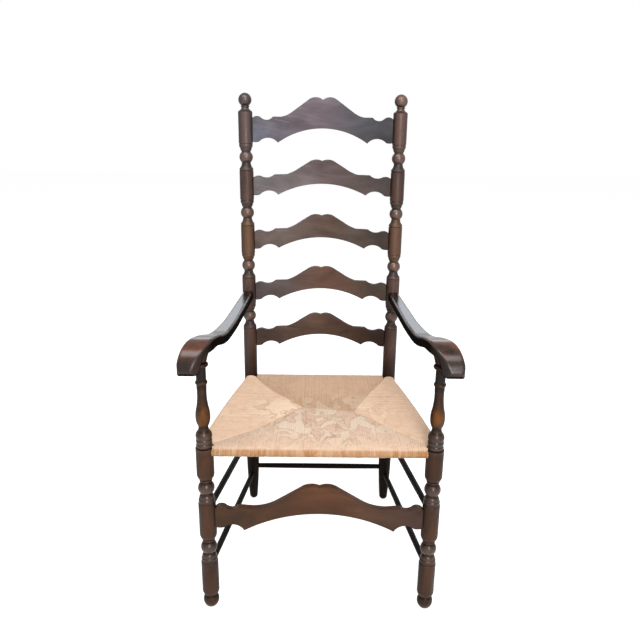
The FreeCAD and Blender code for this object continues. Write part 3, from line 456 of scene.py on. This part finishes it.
def node(tree, kind, **settings):
    """A node; settings are its properties, or its inputs where the name isn't a property."""
    made = tree.nodes.new("ShaderNode" + kind)
    for key, value in settings.items():
        if hasattr(made, key):
            setattr(made, key, value)
        else:
            made.inputs[key.replace("_", " ")].default_value = value
    return made


def feed(tree, socket, value):
    """Give an input a number, a colour or another node's output."""
    if isinstance(value, bpy.types.NodeSocket):
        tree.links.new(value, socket)
    elif isinstance(value, tuple):
        socket.default_value = (*value, 1)
    else:
        socket.default_value = value


def calculate(tree, operation, *values):
    """A sum, product or other result of numbers and outputs."""
    made = node(tree, "Math", operation=operation)
    for socket, value in zip(made.inputs, values):
        feed(tree, socket, value)
    return made.outputs[0]


def times(tree, first, second):
    """The product of two values or masks."""
    return calculate(tree, "MULTIPLY", first, second)


def noise_node(tree, vector, scale, detail=3.0, distortion=0.0, roughness=0.5):
    """A cloudy noise between 0 and 1."""
    made = node(tree, "TexNoise", Scale=scale, Detail=detail, Distortion=distortion,
                Roughness=roughness)
    feed(tree, made.inputs["Vector"], vector)
    return made.outputs["Fac"]


def ramp(tree, value, stops):
    """A colour ramp through (place, colour) stops; a colour may be one grey level."""
    made = node(tree, "ValToRGB")
    elements = made.color_ramp.elements
    while len(elements) < len(stops):
        elements.new(0.5)
    for element, (place, color) in zip(elements, stops):
        element.position = place
        element.color = (*color, 1) if isinstance(color, tuple) else (color, color, color, 1)
    feed(tree, made.inputs["Fac"], value)
    return made.outputs["Color"]


def blend_colors(tree, mask, first, second, kind="MIX"):
    """Mix two colours by a mask; each may be a colour or another node's output."""
    made = node(tree, "Mix", data_type="RGBA", blend_type=kind)
    for number, value in ((0, mask), (6, first), (7, second)):
        feed(tree, made.inputs[number], value)
    return made.outputs[2]


def bump(tree, shader, height, strength, distance):
    """Small hills and hollows in the shading."""
    made = node(tree, "Bump", Strength=strength, Distance=distance)
    feed(tree, made.inputs["Height"], height)
    feed(tree, shader.inputs["Normal"], made.outputs["Normal"])
    return made


# %% [markdown]
# Every pattern reads Object coordinates, which here are metres on the chair itself, so a scale
# of 100 means a feature of about a centimetre. The same coordinates tell how high a place is,
# how far it is to one side, and how near it is to a spot, so wear can be put where it belongs.
# The normal tells which way the surface faces.

# %% Places on the chair
def place_node(tree, scale):
    """Object coordinates, stretched by a scale in each direction."""
    mapping = node(tree, "Mapping")
    mapping.inputs["Scale"].default_value = scale
    feed(tree, mapping.inputs["Vector"], node(tree, "TexCoord").outputs["Object"])
    return mapping.outputs["Vector"]


def slanted_node(tree, size, turn):
    """Object coordinates, turned first and then divided by a size in each direction."""
    mapping = node(tree, "Mapping", vector_type="TEXTURE")
    mapping.inputs["Scale"].default_value = size
    mapping.inputs["Rotation"].default_value = turn
    feed(tree, mapping.inputs["Vector"], node(tree, "TexCoord").outputs["Object"])
    return mapping.outputs["Vector"]


def chair_axes(tree):
    """The place on the chair as separate X, Y and Z, in metres."""
    split = node(tree, "SeparateXYZ")
    feed(tree, split.inputs[0], node(tree, "TexCoord").outputs["Object"])
    return split.outputs


def around(tree, centre, reach):
    """Distance from a place, 1 at this reach in each direction."""
    size = tuple(1 / part for part in reach)
    centred = place_node(tree, size)
    centred.node.inputs["Location"].default_value = tuple(-a * b for a, b in zip(centre, size))
    far = node(tree, "VectorMath", operation="LENGTH")
    feed(tree, far.inputs[0], centred)
    return far.outputs["Value"]


def fade_out(tree, value, start, end):
    """1 while the value is under the start, and smoothly down to 0 at the end."""
    made = node(tree, "MapRange", interpolation_type="SMOOTHSTEP")
    feed(tree, made.inputs["Value"], value)
    for name, number in (("From Min", start), ("From Max", end), ("To Min", 1.0), ("To Max", 0.0)):
        made.inputs[name].default_value = number
    return made.outputs["Result"]


def below(tree, low, high):
    """A mask that is 1 below the lower height and fades to 0 at the higher one."""
    return fade_out(tree, chair_axes(tree)["Z"], low, high)


def facing(tree, direction):
    """How much the surface faces a direction: 1 straight on, 0 side-on."""
    made = node(tree, "VectorMath", operation="DOT_PRODUCT")
    feed(tree, made.inputs[0], node(tree, "NewGeometry").outputs["Normal"])
    made.inputs[1].default_value = direction
    return made.outputs["Value"]


# %% [markdown]
# Under a stain the grain of wood shows as long streaks. A noise gives them when it is
# stretched along the way the piece was cut: upright on posts and legs, across on slats, front
# to back on arms and side rods. Fine fibres and broad bands together choose how dark the
# stain is. A stain is never one colour, so each wood has three, from the dark of its pores to
# the pale of its hard grain. The boards have a figure in greys around 1 instead, which only
# makes a colour lighter and darker.

# %% Grain and stains
GRAIN = {"x": (5, 90, 90), "y": (90, 5, 90), "z": (90, 90, 5)}
POST_STAINS = ((0.036, 0.016, 0.011), (0.068, 0.031, 0.021), (0.108, 0.053, 0.040))
LEG_STAINS = ((0.020, 0.008, 0.003), (0.043, 0.016, 0.006), (0.072, 0.029, 0.012))
ARM_STAINS = ((0.004, 0.002, 0.001), (0.014, 0.005, 0.003), (0.042, 0.016, 0.008))
BLACK_STAINS = ((0.003, 0.002, 0.002), (0.005, 0.003, 0.002), (0.010, 0.006, 0.004))
FIGURE = ((0.66, 0.64, 0.62), (1.0, 1.0, 1.0), (1.42, 1.46, 1.50))


def fine_fibres(tree, direction):
    """The fibres of wood cut along x, y or z."""
    return noise_node(tree, place_node(tree, GRAIN[direction]), 4.0, detail=6, distortion=0.4,
                      roughness=0.65)


def broad_bands(tree, direction):
    """The slow bands of the growth rings, much wider than the fibres."""
    stretch = tuple(part * 0.09 + 5 for part in GRAIN[direction])
    return noise_node(tree, place_node(tree, stretch), 1.3, detail=4, distortion=0.8)


print("stains of the posts, dark to pale:", POST_STAINS)

# %% [markdown]
# Wear and painted shade come in masks. Cloudy places are rubbed and others aren't. What stands
# proud, such as balls and bellies, loses its stain first, and the warmer wood comes up there.
# The turned grooves are blackened, partly as dust and old polish and partly as painted shade,
# which Pointiness finds, because a groove's vertices lie in a hollow. The sharp edges get a
# dark line of painted shade, and the Bevel node finds these: it gives the normal of a rounded
# copy, which differs from the real one there.

# %% Masks for wear and painted shade
def rubbed_places(tree, scale, low, high):
    """A cloudy mask between two levels of a noise."""
    clouds = noise_node(tree, place_node(tree, (scale, scale, scale)), 1.0, detail=5)
    return ramp(tree, clouds, [(low, 0.0), (high, 1.0)])


def proud_places(tree, bands):
    """A mask that is 1 at each band's height above the floor, and 0 past the band's reach."""
    mask = None
    for height, reach in bands:
        away = calculate(tree, "SUBTRACT", chair_axes(tree)["Z"], height)
        near = fade_out(tree, calculate(tree, "ABSOLUTE", away), reach * 0.3, reach)
        mask = near if mask is None else calculate(tree, "MAXIMUM", mask, near)
    return mask


def grooves_mask(tree):
    """A mask of the turned grooves."""
    hollow = node(tree, "NewGeometry").outputs["Pointiness"]
    return ramp(tree, hollow, [(0.482, 1.0), (0.514, 0.0)])


def edge_mask(tree, radius):
    """A mask of the edges, about as wide as the radius."""
    rounded = node(tree, "Bevel", samples=6, Radius=radius)
    alike = node(tree, "VectorMath", operation="DOT_PRODUCT")
    feed(tree, alike.inputs[0], rounded.outputs[0])
    feed(tree, alike.inputs[1], node(tree, "NewGeometry").outputs["Normal"])
    return ramp(tree, alike.outputs["Value"], [(0.80, 1.0), (0.985, 0.0)])


def ramp_across(tree, stops):
    """A colour that changes from left to right of the chair, through (x, colour) stops."""
    wavy = noise_node(tree, place_node(tree, (14, 14, 14)), 1.0, detail=4)
    moved = calculate(tree, "ADD", chair_axes(tree)["X"], times(tree, wavy, 0.06))
    share = calculate(tree, "MULTIPLY_ADD", moved, 2.0, 0.44)
    return ramp(tree, share, [(x * 2.0 + 0.5, color) for x, color in stops])


def scratch_mask(tree):
    """Thin scratches that run slanting across the left half of a slat."""
    slanting = slanted_node(tree, (0.09, 0.05, 0.009), (0, math.radians(9), 0))
    streaks = noise_node(tree, slanting, 1.0, detail=3, distortion=0.4)
    lines = ramp(tree, streaks, [(0.56, 0.0), (0.68, 1.0)])
    left = ramp_across(tree, [(-0.20, 0.3), (-0.11, 1.0), (-0.03, 0.8), (0.03, 0.0)])
    return times(tree, lines, left)


# %% [markdown]
# The wood is stained dark walnut and rubbed to a soft shine. One recipe makes all the kinds:
# colours across the boards come first, their own tone with painted sheen and painted shade, and
# scratches, then edges darkened with painted shade, worn places, grooves darkened with dust and
# painted shade, and tinted spots. Last comes painted shade on the sides of the round pieces
# that face away from the front of the chair, and the black of the posts below the seat. A cloth
# also makes what it rubs glossier, so the same masks change the shine; the sides in painted
# shade also lose most of their gloss.

# %% Stained wood
SCRATCHED = (0.30, 0.21, 0.18)
# Painted shade: the dark line along the sharp edges.
EDGE_SHADE = (0.012, 0.007, 0.005)
# Dust and painted shade in the turned grooves.
GROOVE_DUST_AND_SHADE = (0.008, 0.005, 0.004)
# Painted shade on the sides of round pieces that face away from the front of the chair.
PAINTED_SIDE_SHADE = (0.012, 0.006, 0.004)
FRONT_OF_CHAIR = (0.12, -0.98, 0.15)


def stained_wood(name, direction, stains, shine=0.40, gloss=0.2, figure=0.5, across=(),
                 scratches=0.0, edge_width=0.0, worn=None, grooves=0.0, tinted=(), side_shading=0.0,
                 black_below=None, glossy=()):
    """Stained wood with its grain along one direction: three stains, how it is worn, and its painted shade.
    """
    material, tree, shader = new_finish(name, shine)
    fibres = fine_fibres(tree, direction)
    level = calculate(tree, "ADD", times(tree, fibres, 1 - figure),
                      times(tree, broad_bands(tree, direction), figure))
    color = ramp(tree, level, list(zip((0.34, 0.50, 0.66), stains)))
    # Colours across the board: its own tone, and on the slats painted sheen at the left and painted shade
    # at the right.
    if across:
        color = blend_colors(tree, 1.0, color, ramp_across(tree, across), "MULTIPLY")
    if scratches:
        color = blend_colors(tree, times(tree, scratch_mask(tree), scratches), color, SCRATCHED)
    # Painted shade along the sharp edges.
    if edge_width:
        color = blend_colors(tree, times(tree, edge_mask(tree, edge_width), 0.8), color, EDGE_SHADE)
    if worn:
        bands, strength, worn_color = worn
        mask = times(tree, proud_places(tree, bands), rubbed_places(tree, 45, 0.30, 0.62))
        color = blend_colors(tree, times(tree, mask, strength), color, worn_color)
    # Grooves darkened: partly dust, partly painted shade.
    if grooves:
        color = blend_colors(tree, times(tree, grooves_mask(tree), grooves), color, GROOVE_DUST_AND_SHADE)
    for place, radius, tint, strength in tinted:
        near = around(tree, place, (radius, radius, radius))
        color = blend_colors(tree, ramp(tree, near, [(0.6, strength), (1.0, 0.0)]), color, tint)
    # Painted shade: the sides that face away from the front of the chair are darkened.
    if side_shading:
        side_shade_mask = ramp(tree, facing(tree, FRONT_OF_CHAIR), [(0.35, side_shading), (0.93, 0.0)])
        color = blend_colors(tree, side_shade_mask, color, PAINTED_SIDE_SHADE)
    if black_below:
        color = blend_colors(tree, below(tree, *black_below), color, BLACK_STAINS[2])
    feed(tree, shader.inputs["Base Color"], color)
    rough = ramp(tree, rubbed_places(tree, 28, 0.35, 0.65),
                 [(0.0, shine + 0.09), (1.0, shine - 0.05)])
    shader.inputs["Specular IOR Level"].default_value = gloss
    if glossy:
        bright = proud_places(tree, glossy)
        rough = calculate(tree, "SUBTRACT", rough, times(tree, bright, 0.10))
        level = calculate(tree, "MULTIPLY_ADD", bright, 0.26, gloss)
        if black_below:
            low = below(tree, *black_below)
            level = times(tree, level, calculate(tree, "MULTIPLY_ADD", low, -0.85, 1.0))
        # The sides in painted shade also lose most of their gloss.
        if side_shading:
            level = times(tree, level, calculate(tree, "MULTIPLY_ADD", side_shade_mask, -0.8, 1.0))
        feed(tree, shader.inputs["Specular IOR Level"], level)
    feed(tree, shader.inputs["Roughness"], rough)
    bump(tree, shader, fibres, 0.04, 0.0004)
    return material


# %% [markdown]
# Hands have polished the arms where they rest, on the top and round the front of the scroll,
# and on the crest of the scroll the stain has worn to a red brown. The inner sides and the
# undersides stayed dull, and they get the darkest stain, which is partly their own colour and
# partly painted shade. The direction of the surface tells the two apart. The Bevel node softens
# the long edges a little more in the shading, as years of wiping do.

# %% Wood that hands have polished
RED_BROWN = (0.125, 0.036, 0.012)


def scroll_mask(tree):
    """1 on the crest of the arms' scrolled hands, and 0 further back."""
    forward = ramp(tree, times(tree, chair_axes(tree)["Y"], -1.0), [(0.14, 0.0), (0.22, 1.0)])
    normal = node(tree, "SeparateXYZ")
    feed(tree, normal.inputs[0], node(tree, "NewGeometry").outputs["Normal"])
    upward = ramp(tree, normal.outputs["Z"], [(0.50, 0.0), (0.85, 1.0)])
    return times(tree, forward, upward)


def handled_wood(name):
    """Nearly black wood, polished on the top and the front of the scroll, with painted shade on the sides
    and underneath.
    """
    material, tree, shader = new_finish(name, 0.3)
    clouds = noise_node(tree, place_node(tree, (16, 12, 16)), 1.0, detail=5, distortion=0.5)
    level = calculate(tree, "ADD", times(tree, fine_fibres(tree, "y"), 0.3),
                      times(tree, clouds, 0.7))
    top = ramp(tree, level, list(zip((0.36, 0.52, 0.66), ARM_STAINS)))
    hand = times(tree, scroll_mask(tree), rubbed_places(tree, 26, 0.36, 0.58))
    top = blend_colors(tree, times(tree, hand, 0.8), top, RED_BROWN)
    # Top and front are polished; the sides and undersides get the darkest stain, partly as painted shade.
    polished_and_lit = ramp(tree, facing(tree, (0, -0.6, 0.8)), [(0.15, 0.0), (0.50, 1.0)])
    color = blend_colors(tree, polished_and_lit, ARM_STAINS[0], top)
    feed(tree, shader.inputs["Base Color"], color)
    dull = calculate(tree, "SUBTRACT", 0.95, times(tree, polished_and_lit, 0.73))
    feed(tree, shader.inputs["Roughness"], dull)
    shader.inputs["Specular IOR Level"].default_value = 0.3
    gloss = calculate(tree, "MULTIPLY_ADD", polished_and_lit, 0.34, 0.02)
    feed(tree, shader.inputs["Specular IOR Level"], gloss)
    softened = node(tree, "Bevel", samples=6, Radius=0.007)
    uneven = bump(tree, shader, clouds, 0.15, 0.002)
    feed(tree, uneven.inputs["Normal"], softened.outputs[0])
    return material


# %% [markdown]
# Each kind of piece has aged in its own way. The posts' balls shine brown, the vases of the
# front legs are worn to a warm brown, the arms are almost black with a high polish, and the
# rods behind are black. The two posts have darkened unevenly, so a few tinted spots tell them
# apart, and the paler, greyer spots on their top barrels are painted sheen. Each finish is one
# call, so the differences are easy to compare.

# %% Wood of posts, legs, arms and rods
BALL_HEIGHTS = [0.6065 + 0.1495 * number for number in range(4)]
FINIAL_HEIGHT = 1.203
VASE_HEIGHT = 0.515
RINGS_HEIGHT = 0.459
LEG_BALL_HEIGHTS = (0.325, 0.163)
SPOT_REACH = {"finial": 0.026, "barrel": 0.085}
post_y = (rear_low.y + rear_high.y) / 2
post_tints = [
    ((side * post_x, post_y, height), SPOT_REACH[part], color, strength)
    for part, side, height, color, strength in (
        ("finial", -1, FINIAL_HEIGHT, (0.022, 0.010, 0.008), 0.80),
        ("finial", 1, 1.206, (0.19, 0.085, 0.045), 0.55),
        ("barrel", -1, 0.83, (0.120, 0.052, 0.018), 0.60),
        ("barrel", 1, 0.83, (0.125, 0.056, 0.025), 0.60),
        # The last two spots, on the top barrels, are painted sheen: paler and greyer than the stain.
        ("barrel", -1, 1.13, (0.080, 0.055, 0.052), 0.70),
        ("barrel", 1, 1.13, (0.120, 0.066, 0.054), 0.50))
]
post_wood = stained_wood("stained_wood_posts", "z", POST_STAINS, gloss=0.38, figure=0.7,
                         worn=([(height, 0.020) for height in BALL_HEIGHTS], 0.35, (0.19, 0.085, 0.038)),
                         grooves=0.95, tinted=post_tints, side_shading=0.85, black_below=(0.38, 0.54),
                         glossy=[(height, 0.022) for height in BALL_HEIGHTS] + [(FINIAL_HEIGHT, 0.03)])
leg_wood = stained_wood("stained_wood_legs", "z", LEG_STAINS, gloss=0.18, figure=0.7,
                        worn=([(VASE_HEIGHT, 0.050)], 0.80, (0.175, 0.062, 0.012)),
                        grooves=0.95, side_shading=0.8,
                        glossy=[(RINGS_HEIGHT, 0.034)] + [(height, 0.040) for height in LEG_BALL_HEIGHTS])
arm_wood = handled_wood("stained_wood_arms")
rod_wood = stained_wood("stained_wood_rods", "y", BLACK_STAINS, shine=0.5, gloss=0.05)
rear_rod_wood = stained_wood("stained_wood_rear_rod", "x", BLACK_STAINS, shine=0.5, gloss=0.05)
print("heights of the posts' balls:", [round(height, 4) for height in BALL_HEIGHTS])

# %% [markdown]
# The five slats and the front board change colour from left to right. Part of it is the
# wood's own uneven tone, and on the slats part of it is painted light: a painted bluish grey
# sheen at the left end of the upper slats, brown in the middle, and painted shade nearly black
# at the right. So each board has its own row of colours from left to right, and a grey figure
# of the grain only makes them lighter and darker.

# %% Wood of the slats and the front board
# Left-to-right colours of each board; on the slats a painted bluish grey sheen at the left and painted
# shade at the right.
BOARD_TONES_AND_SHEEN = {
    "slat_1": [(-0.17, (0.094, 0.093, 0.120)), (-0.10, (0.108, 0.087, 0.108)), (0.0, (0.116, 0.086, 0.098)),
               (0.085, (0.067, 0.061, 0.072)), (0.16, (0.045, 0.043, 0.048))],
    "slat_2": [(-0.17, (0.135, 0.120, 0.124)), (-0.10, (0.135, 0.112, 0.115)), (0.0, (0.093, 0.062, 0.062)),
               (0.085, (0.078, 0.053, 0.048)), (0.16, (0.060, 0.046, 0.043))],
    "slat_3": [(-0.17, (0.088, 0.062, 0.055)), (-0.10, (0.115, 0.084, 0.072)), (0.0, (0.082, 0.047, 0.034)),
               (0.085, (0.074, 0.051, 0.040)), (0.16, (0.037, 0.024, 0.019))],
    "slat_4": [(-0.17, (0.066, 0.050, 0.050)), (-0.10, (0.088, 0.064, 0.058)), (0.0, (0.130, 0.063, 0.042)),
               (0.085, (0.076, 0.041, 0.027)), (0.16, (0.052, 0.036, 0.027))],
    "slat_5": [(-0.17, (0.056, 0.034, 0.027)), (-0.10, (0.088, 0.054, 0.041)), (0.0, (0.096, 0.053, 0.036)),
               (0.085, (0.066, 0.035, 0.023)), (0.16, (0.030, 0.015, 0.010))],
    "front_stretcher": [(-0.22, (0.049, 0.021, 0.008)), (-0.10, (0.058, 0.023, 0.009)),
                        (0.0, (0.088, 0.032, 0.012)), (0.10, (0.062, 0.027, 0.013)),
                        (0.20, (0.045, 0.021, 0.013))],
}
SCRATCHES = {"slat_1": 0.40, "slat_2": 0.50, "slat_3": 0.35, "slat_4": 0.15, "slat_5": 0.10}
EDGE_WIDTHS = {"front_stretcher": 0.004}

boards = {}
for name, colors in BOARD_TONES_AND_SHEEN.items():
    boards[name] = stained_wood("stained_wood_" + name, "x", FIGURE, shine=0.43, gloss=0.2,
                                figure=0.78, across=colors, scratches=SCRATCHES.get(name, 0.0),
                                edge_width=EDGE_WIDTHS.get(name, 0.002))
print("boards with their own colours:", len(boards))

# %% [markdown]
# The frame's pieces come with their names, so a finish can be given by how a name begins. The
# slats and the front board have finishes of their own. The rails inside the seat, which the
# rush hides, take the plain black one of the rods.

# %% Every wooden piece gets its finish
WOODS = {"back_post": post_wood, "front_leg": leg_wood, "arm": arm_wood,
         "rear_stretcher": rear_rod_wood}
for name, item in nodes.items():
    kind = next((part for part in WOODS if name.startswith(part)), None)
    item.data.materials.clear()
    item.data.materials.append(boards[name] if name in boards else WOODS.get(kind, rod_wood))
print("wooden pieces finished:", len(nodes))

# %% [markdown]
# Rush dries to a pale gold. Where the sitter rubs it, in the middle and along the front edge,
# it is polished to shiny patches with cracked outlines, painted pale, which is partly worn rush
# and partly painted sheen. The lower front of the roll, which faces down and forwards, gets
# painted shade in a darker golden brown. Each cord carries its own tint and a fine twist, painted
# with the map that was made along the cord, while the patches and cracks run over all the cords
# at once.

# %% Rush
# The pale of worn rush and of painted sheen.
PALE_RUSH_AND_SHEEN = (0.90, 0.72, 0.53)
CRACK = (0.34, 0.175, 0.085)
# Painted shade on the lower front of the roll.
ROLL_SHADE = (0.42, 0.205, 0.080)


def shaded_roll_front(tree, color, low, high):
    """Painted shade in golden brown on the lower front of a roll, up to a height."""
    mottled = ramp(tree, noise_node(tree, place_node(tree, (130, 18, 18)), 1.0, detail=5),
                   [(0.36, 0.70), (0.56, 1.0)])
    ahead = ramp(tree, times(tree, chair_axes(tree)["Y"], -1.0),
                 [(-front_rail.y + 0.001, 0.0), (-front_rail.y + 0.004, 1.0)])
    front = times(tree, below(tree, low, high), ahead)
    # Painted shade on the lower front of the roll.
    return blend_colors(tree, times(tree, front, mottled), color, ROLL_SHADE)


def worn_patches_and_sheen(tree, shader, color, place, reach, strength):
    """Shiny patches with cracked outlines, pale partly from wear and partly as painted sheen, strongest
    round a place.
    """
    near = ramp(tree, around(tree, place, reach), [(0.45, strength), (1.0, 0.12 * strength)])
    field = noise_node(tree, place_node(tree, (24, 15, 20)), 1.0, detail=4, distortion=0.9,
                       roughness=0.55)
    patch = times(tree, ramp(tree, field, [(0.500, 0.0), (0.512, 1.0)]), near)
    crack = times(tree, ramp(tree, field, [(0.474, 0.0), (0.492, 1.0), (0.504, 0.0)]), near)
    slanting = slanted_node(tree, (0.006, 0.045, 0.02), (0, 0, math.radians(-38)))
    fine = noise_node(tree, slanting, 1.0, detail=3, distortion=1.2)
    streak = times(tree, ramp(tree, fine, [(0.545, 0.0), (0.575, 0.55), (0.60, 0.0)]), near)
    color = blend_colors(tree, streak, color, CRACK)
    # Pale patches: partly worn rush, partly painted sheen.
    color = blend_colors(tree, times(tree, patch, 0.65), color, PALE_RUSH_AND_SHEEN)
    color = blend_colors(tree, times(tree, crack, 0.62), color, CRACK)
    rough = calculate(tree, "SUBTRACT", 0.56, times(tree, patch, 0.22))
    feed(tree, shader.inputs["Roughness"], rough)
    return color


def twisted(tree, shader):
    """The ridges of the twist, slanting round each cord."""
    parts = node(tree, "SeparateXYZ")
    feed(tree, parts.inputs[0], node(tree, "UVMap", uv_map="cord").outputs["UV"])
    turned = calculate(tree, "ADD", times(tree, parts.outputs["X"], 0.9),
                       times(tree, parts.outputs["Y"], 2.0))
    bump(tree, shader, calculate(tree, "PINGPONG", turned, 0.5), 0.4, 0.0004)


def rush_finish(name, gold, dark, rubbed_and_sheen=None, shade_band=None):
    """Dry rush of two colours, with pale patches of wear and painted sheen round a place, and painted shade
    on the front of its roll.
    """
    material, tree, shader = new_finish(name, 0.52)
    own = node(tree, "Attribute", attribute_name="tint").outputs["Fac"]
    leaf = noise_node(tree, place_node(tree, (55, 55, 55)), 1.0, detail=5, distortion=1.0,
                      roughness=0.6)
    mixed = calculate(tree, "ADD", times(tree, own, 0.14),
                      ramp(tree, leaf, [(0.46, 0.0), (0.80, 0.6)]))
    color = blend_colors(tree, mixed, gold, dark)
    if shade_band:
        color = shaded_roll_front(tree, color, *shade_band)
    if rubbed_and_sheen:
        color = worn_patches_and_sheen(tree, shader, color, *rubbed_and_sheen)
    feed(tree, shader.inputs["Base Color"], color)
    shader.inputs["Specular IOR Level"].default_value = 0.35
    twisted(tree, shader)
    return material


# %% [markdown]
# The four panels differ in tone, because the light and the sitter reach them differently, so
# their colours carry painted light and shade as well as wear. The back one is the darkest, the
# left and front ones are the palest and the most rubbed. Each panel is given its two colours,
# the place, reach and strength of its pale patches of wear and painted sheen, and the front
# one the height of the painted shade on its roll.

# %% Finishes of the seat
# Height band of the painted shade on the front roll.
FRONT_SHADE_BAND = (front_rail.z + ROLL_RADIUS * 0.50, front_rail.z + ROLL_RADIUS * 1.0)
SEAT_COLORS = (
    (rush_front, (0.84, 0.60, 0.44), (0.60, 0.36, 0.225),
     ((0.01, -0.08, 0.45), (0.22, 0.17, 0.2), 1.0), FRONT_SHADE_BAND),
    (rush_left, (0.83, 0.58, 0.405), (0.60, 0.36, 0.225),
     ((-0.08, 0.00, 0.45), (0.14, 0.10, 0.2), 0.9), None),
    (rush_back, (0.665, 0.42, 0.255), (0.46, 0.255, 0.135),
     ((0.06, 0.04, 0.46), (0.20, 0.08, 0.2), 0.45), None),
    (rush_right, (0.78, 0.545, 0.385), (0.56, 0.335, 0.19),
     ((0.12, -0.02, 0.45), (0.12, 0.09, 0.2), 0.45), None),
)
for panel, gold, dark, rubbed_and_sheen, shade_band in SEAT_COLORS:
    panel.data.materials.append(rush_finish(panel.name, gold, dark, rubbed_and_sheen, shade_band))
straw_pad.data.materials.append(rush_finish("straw", (0.42, 0.27, 0.13), (0.30, 0.17, 0.08)))
print("panels finished:", len(SEAT_COLORS))

# %% [markdown]
# The studio is a white floor under a soft, even sky. The background is white to the camera and
# in reflections, while the light that the sky gives the chair stays modest, so the sides of
# the posts still fall into shade. Light Path tells the two kinds of ray apart.

# %% Floor and sky
FLOOR_GLOW = 0.78
SKY_LIGHT = 0.24

floor_mesh = bpy.data.meshes.new("floor")
bm = bmesh.new()
bmesh.ops.create_grid(bm, x_segments=1, y_segments=1, size=12)
bmesh.ops.translate(bm, vec=(0, 0, -0.0005), verts=bm.verts)
bm.to_mesh(floor_mesh)
bm.free()
floor = bpy.data.objects.new("floor", floor_mesh)
bpy.context.scene.collection.objects.link(floor)


def seen_directly(tree):
    """1 for what the camera sees directly, in a mirror or through glass, and 0 for light."""
    path = node(tree, "LightPath")
    mirrored = calculate(tree, "MAXIMUM", path.outputs["Is Camera Ray"], path.outputs["Is Glossy Ray"])
    return calculate(tree, "MAXIMUM", mirrored, path.outputs["Is Transmission Ray"])


floor_white, floor_tree, floor_shader = new_finish("floor_white", 0.9)
floor_shader.inputs["Base Color"].default_value = (0.85, 0.85, 0.85, 1)
floor_shader.inputs["Specular IOR Level"].default_value = 0.0
floor_shader.inputs["Emission Color"].default_value = (1, 1, 1, 1)
glow = times(floor_tree, seen_directly(floor_tree), FLOOR_GLOW)
feed(floor_tree, floor_shader.inputs["Emission Strength"], glow)
floor.data.materials.append(floor_white)

world = bpy.data.worlds.new("studio")
bpy.context.scene.world = world
world.use_nodes = True
sky = world.node_tree
background = sky.nodes["Background"]
background.inputs["Color"].default_value = (1, 1, 1, 1)
extra = times(sky, seen_directly(sky), 1 - SKY_LIGHT)
feed(sky, background.inputs["Strength"], calculate(sky, "ADD", extra, SKY_LIGHT))
print("light of the sky on the chair:", SKY_LIGHT)

# %% [markdown]
# Three flat lamps light the chair. One as tall and narrow as a window stands just behind the
# camera, a little to its right, and gives the turnings their upright bright spots. A wide one
# overhead lights the seat and the tops of the arms. A faint bluish one behind the chair keeps
# its back from going black.

# %% Lamps
def lamp(name, place, aim, width, height, power, color):
    """A flat rectangular lamp that faces a point."""
    data = bpy.data.lights.new(name, "AREA")
    data.shape = "RECTANGLE"
    data.size = width
    data.size_y = height
    data.energy = power
    data.color = color
    made = bpy.data.objects.new(name, data)
    bpy.context.scene.collection.objects.link(made)
    made.location = place
    made.rotation_euler = (Vector(aim) - Vector(place)).to_track_quat("-Z", "Y").to_euler()


lamp("window", (0.40, -2.8, 1.8), (0, 0, 0.9), 0.7, 1.8, 60, (1.0, 0.985, 0.965))
lamp("overhead", (-0.25, -0.95, 3.1), (0, 0, 0.5), 2.6, 0.9, 52, (0.95, 0.975, 1.0))
lamp("back", (-0.1, 2.7, 1.8), (0, 0, 0.7), 2.4, 0.8, 15, (0.84, 0.92, 1.0))
bpy.context.scene.view_settings.view_transform = "Standard"
print("lamps:", len(bpy.data.lights))
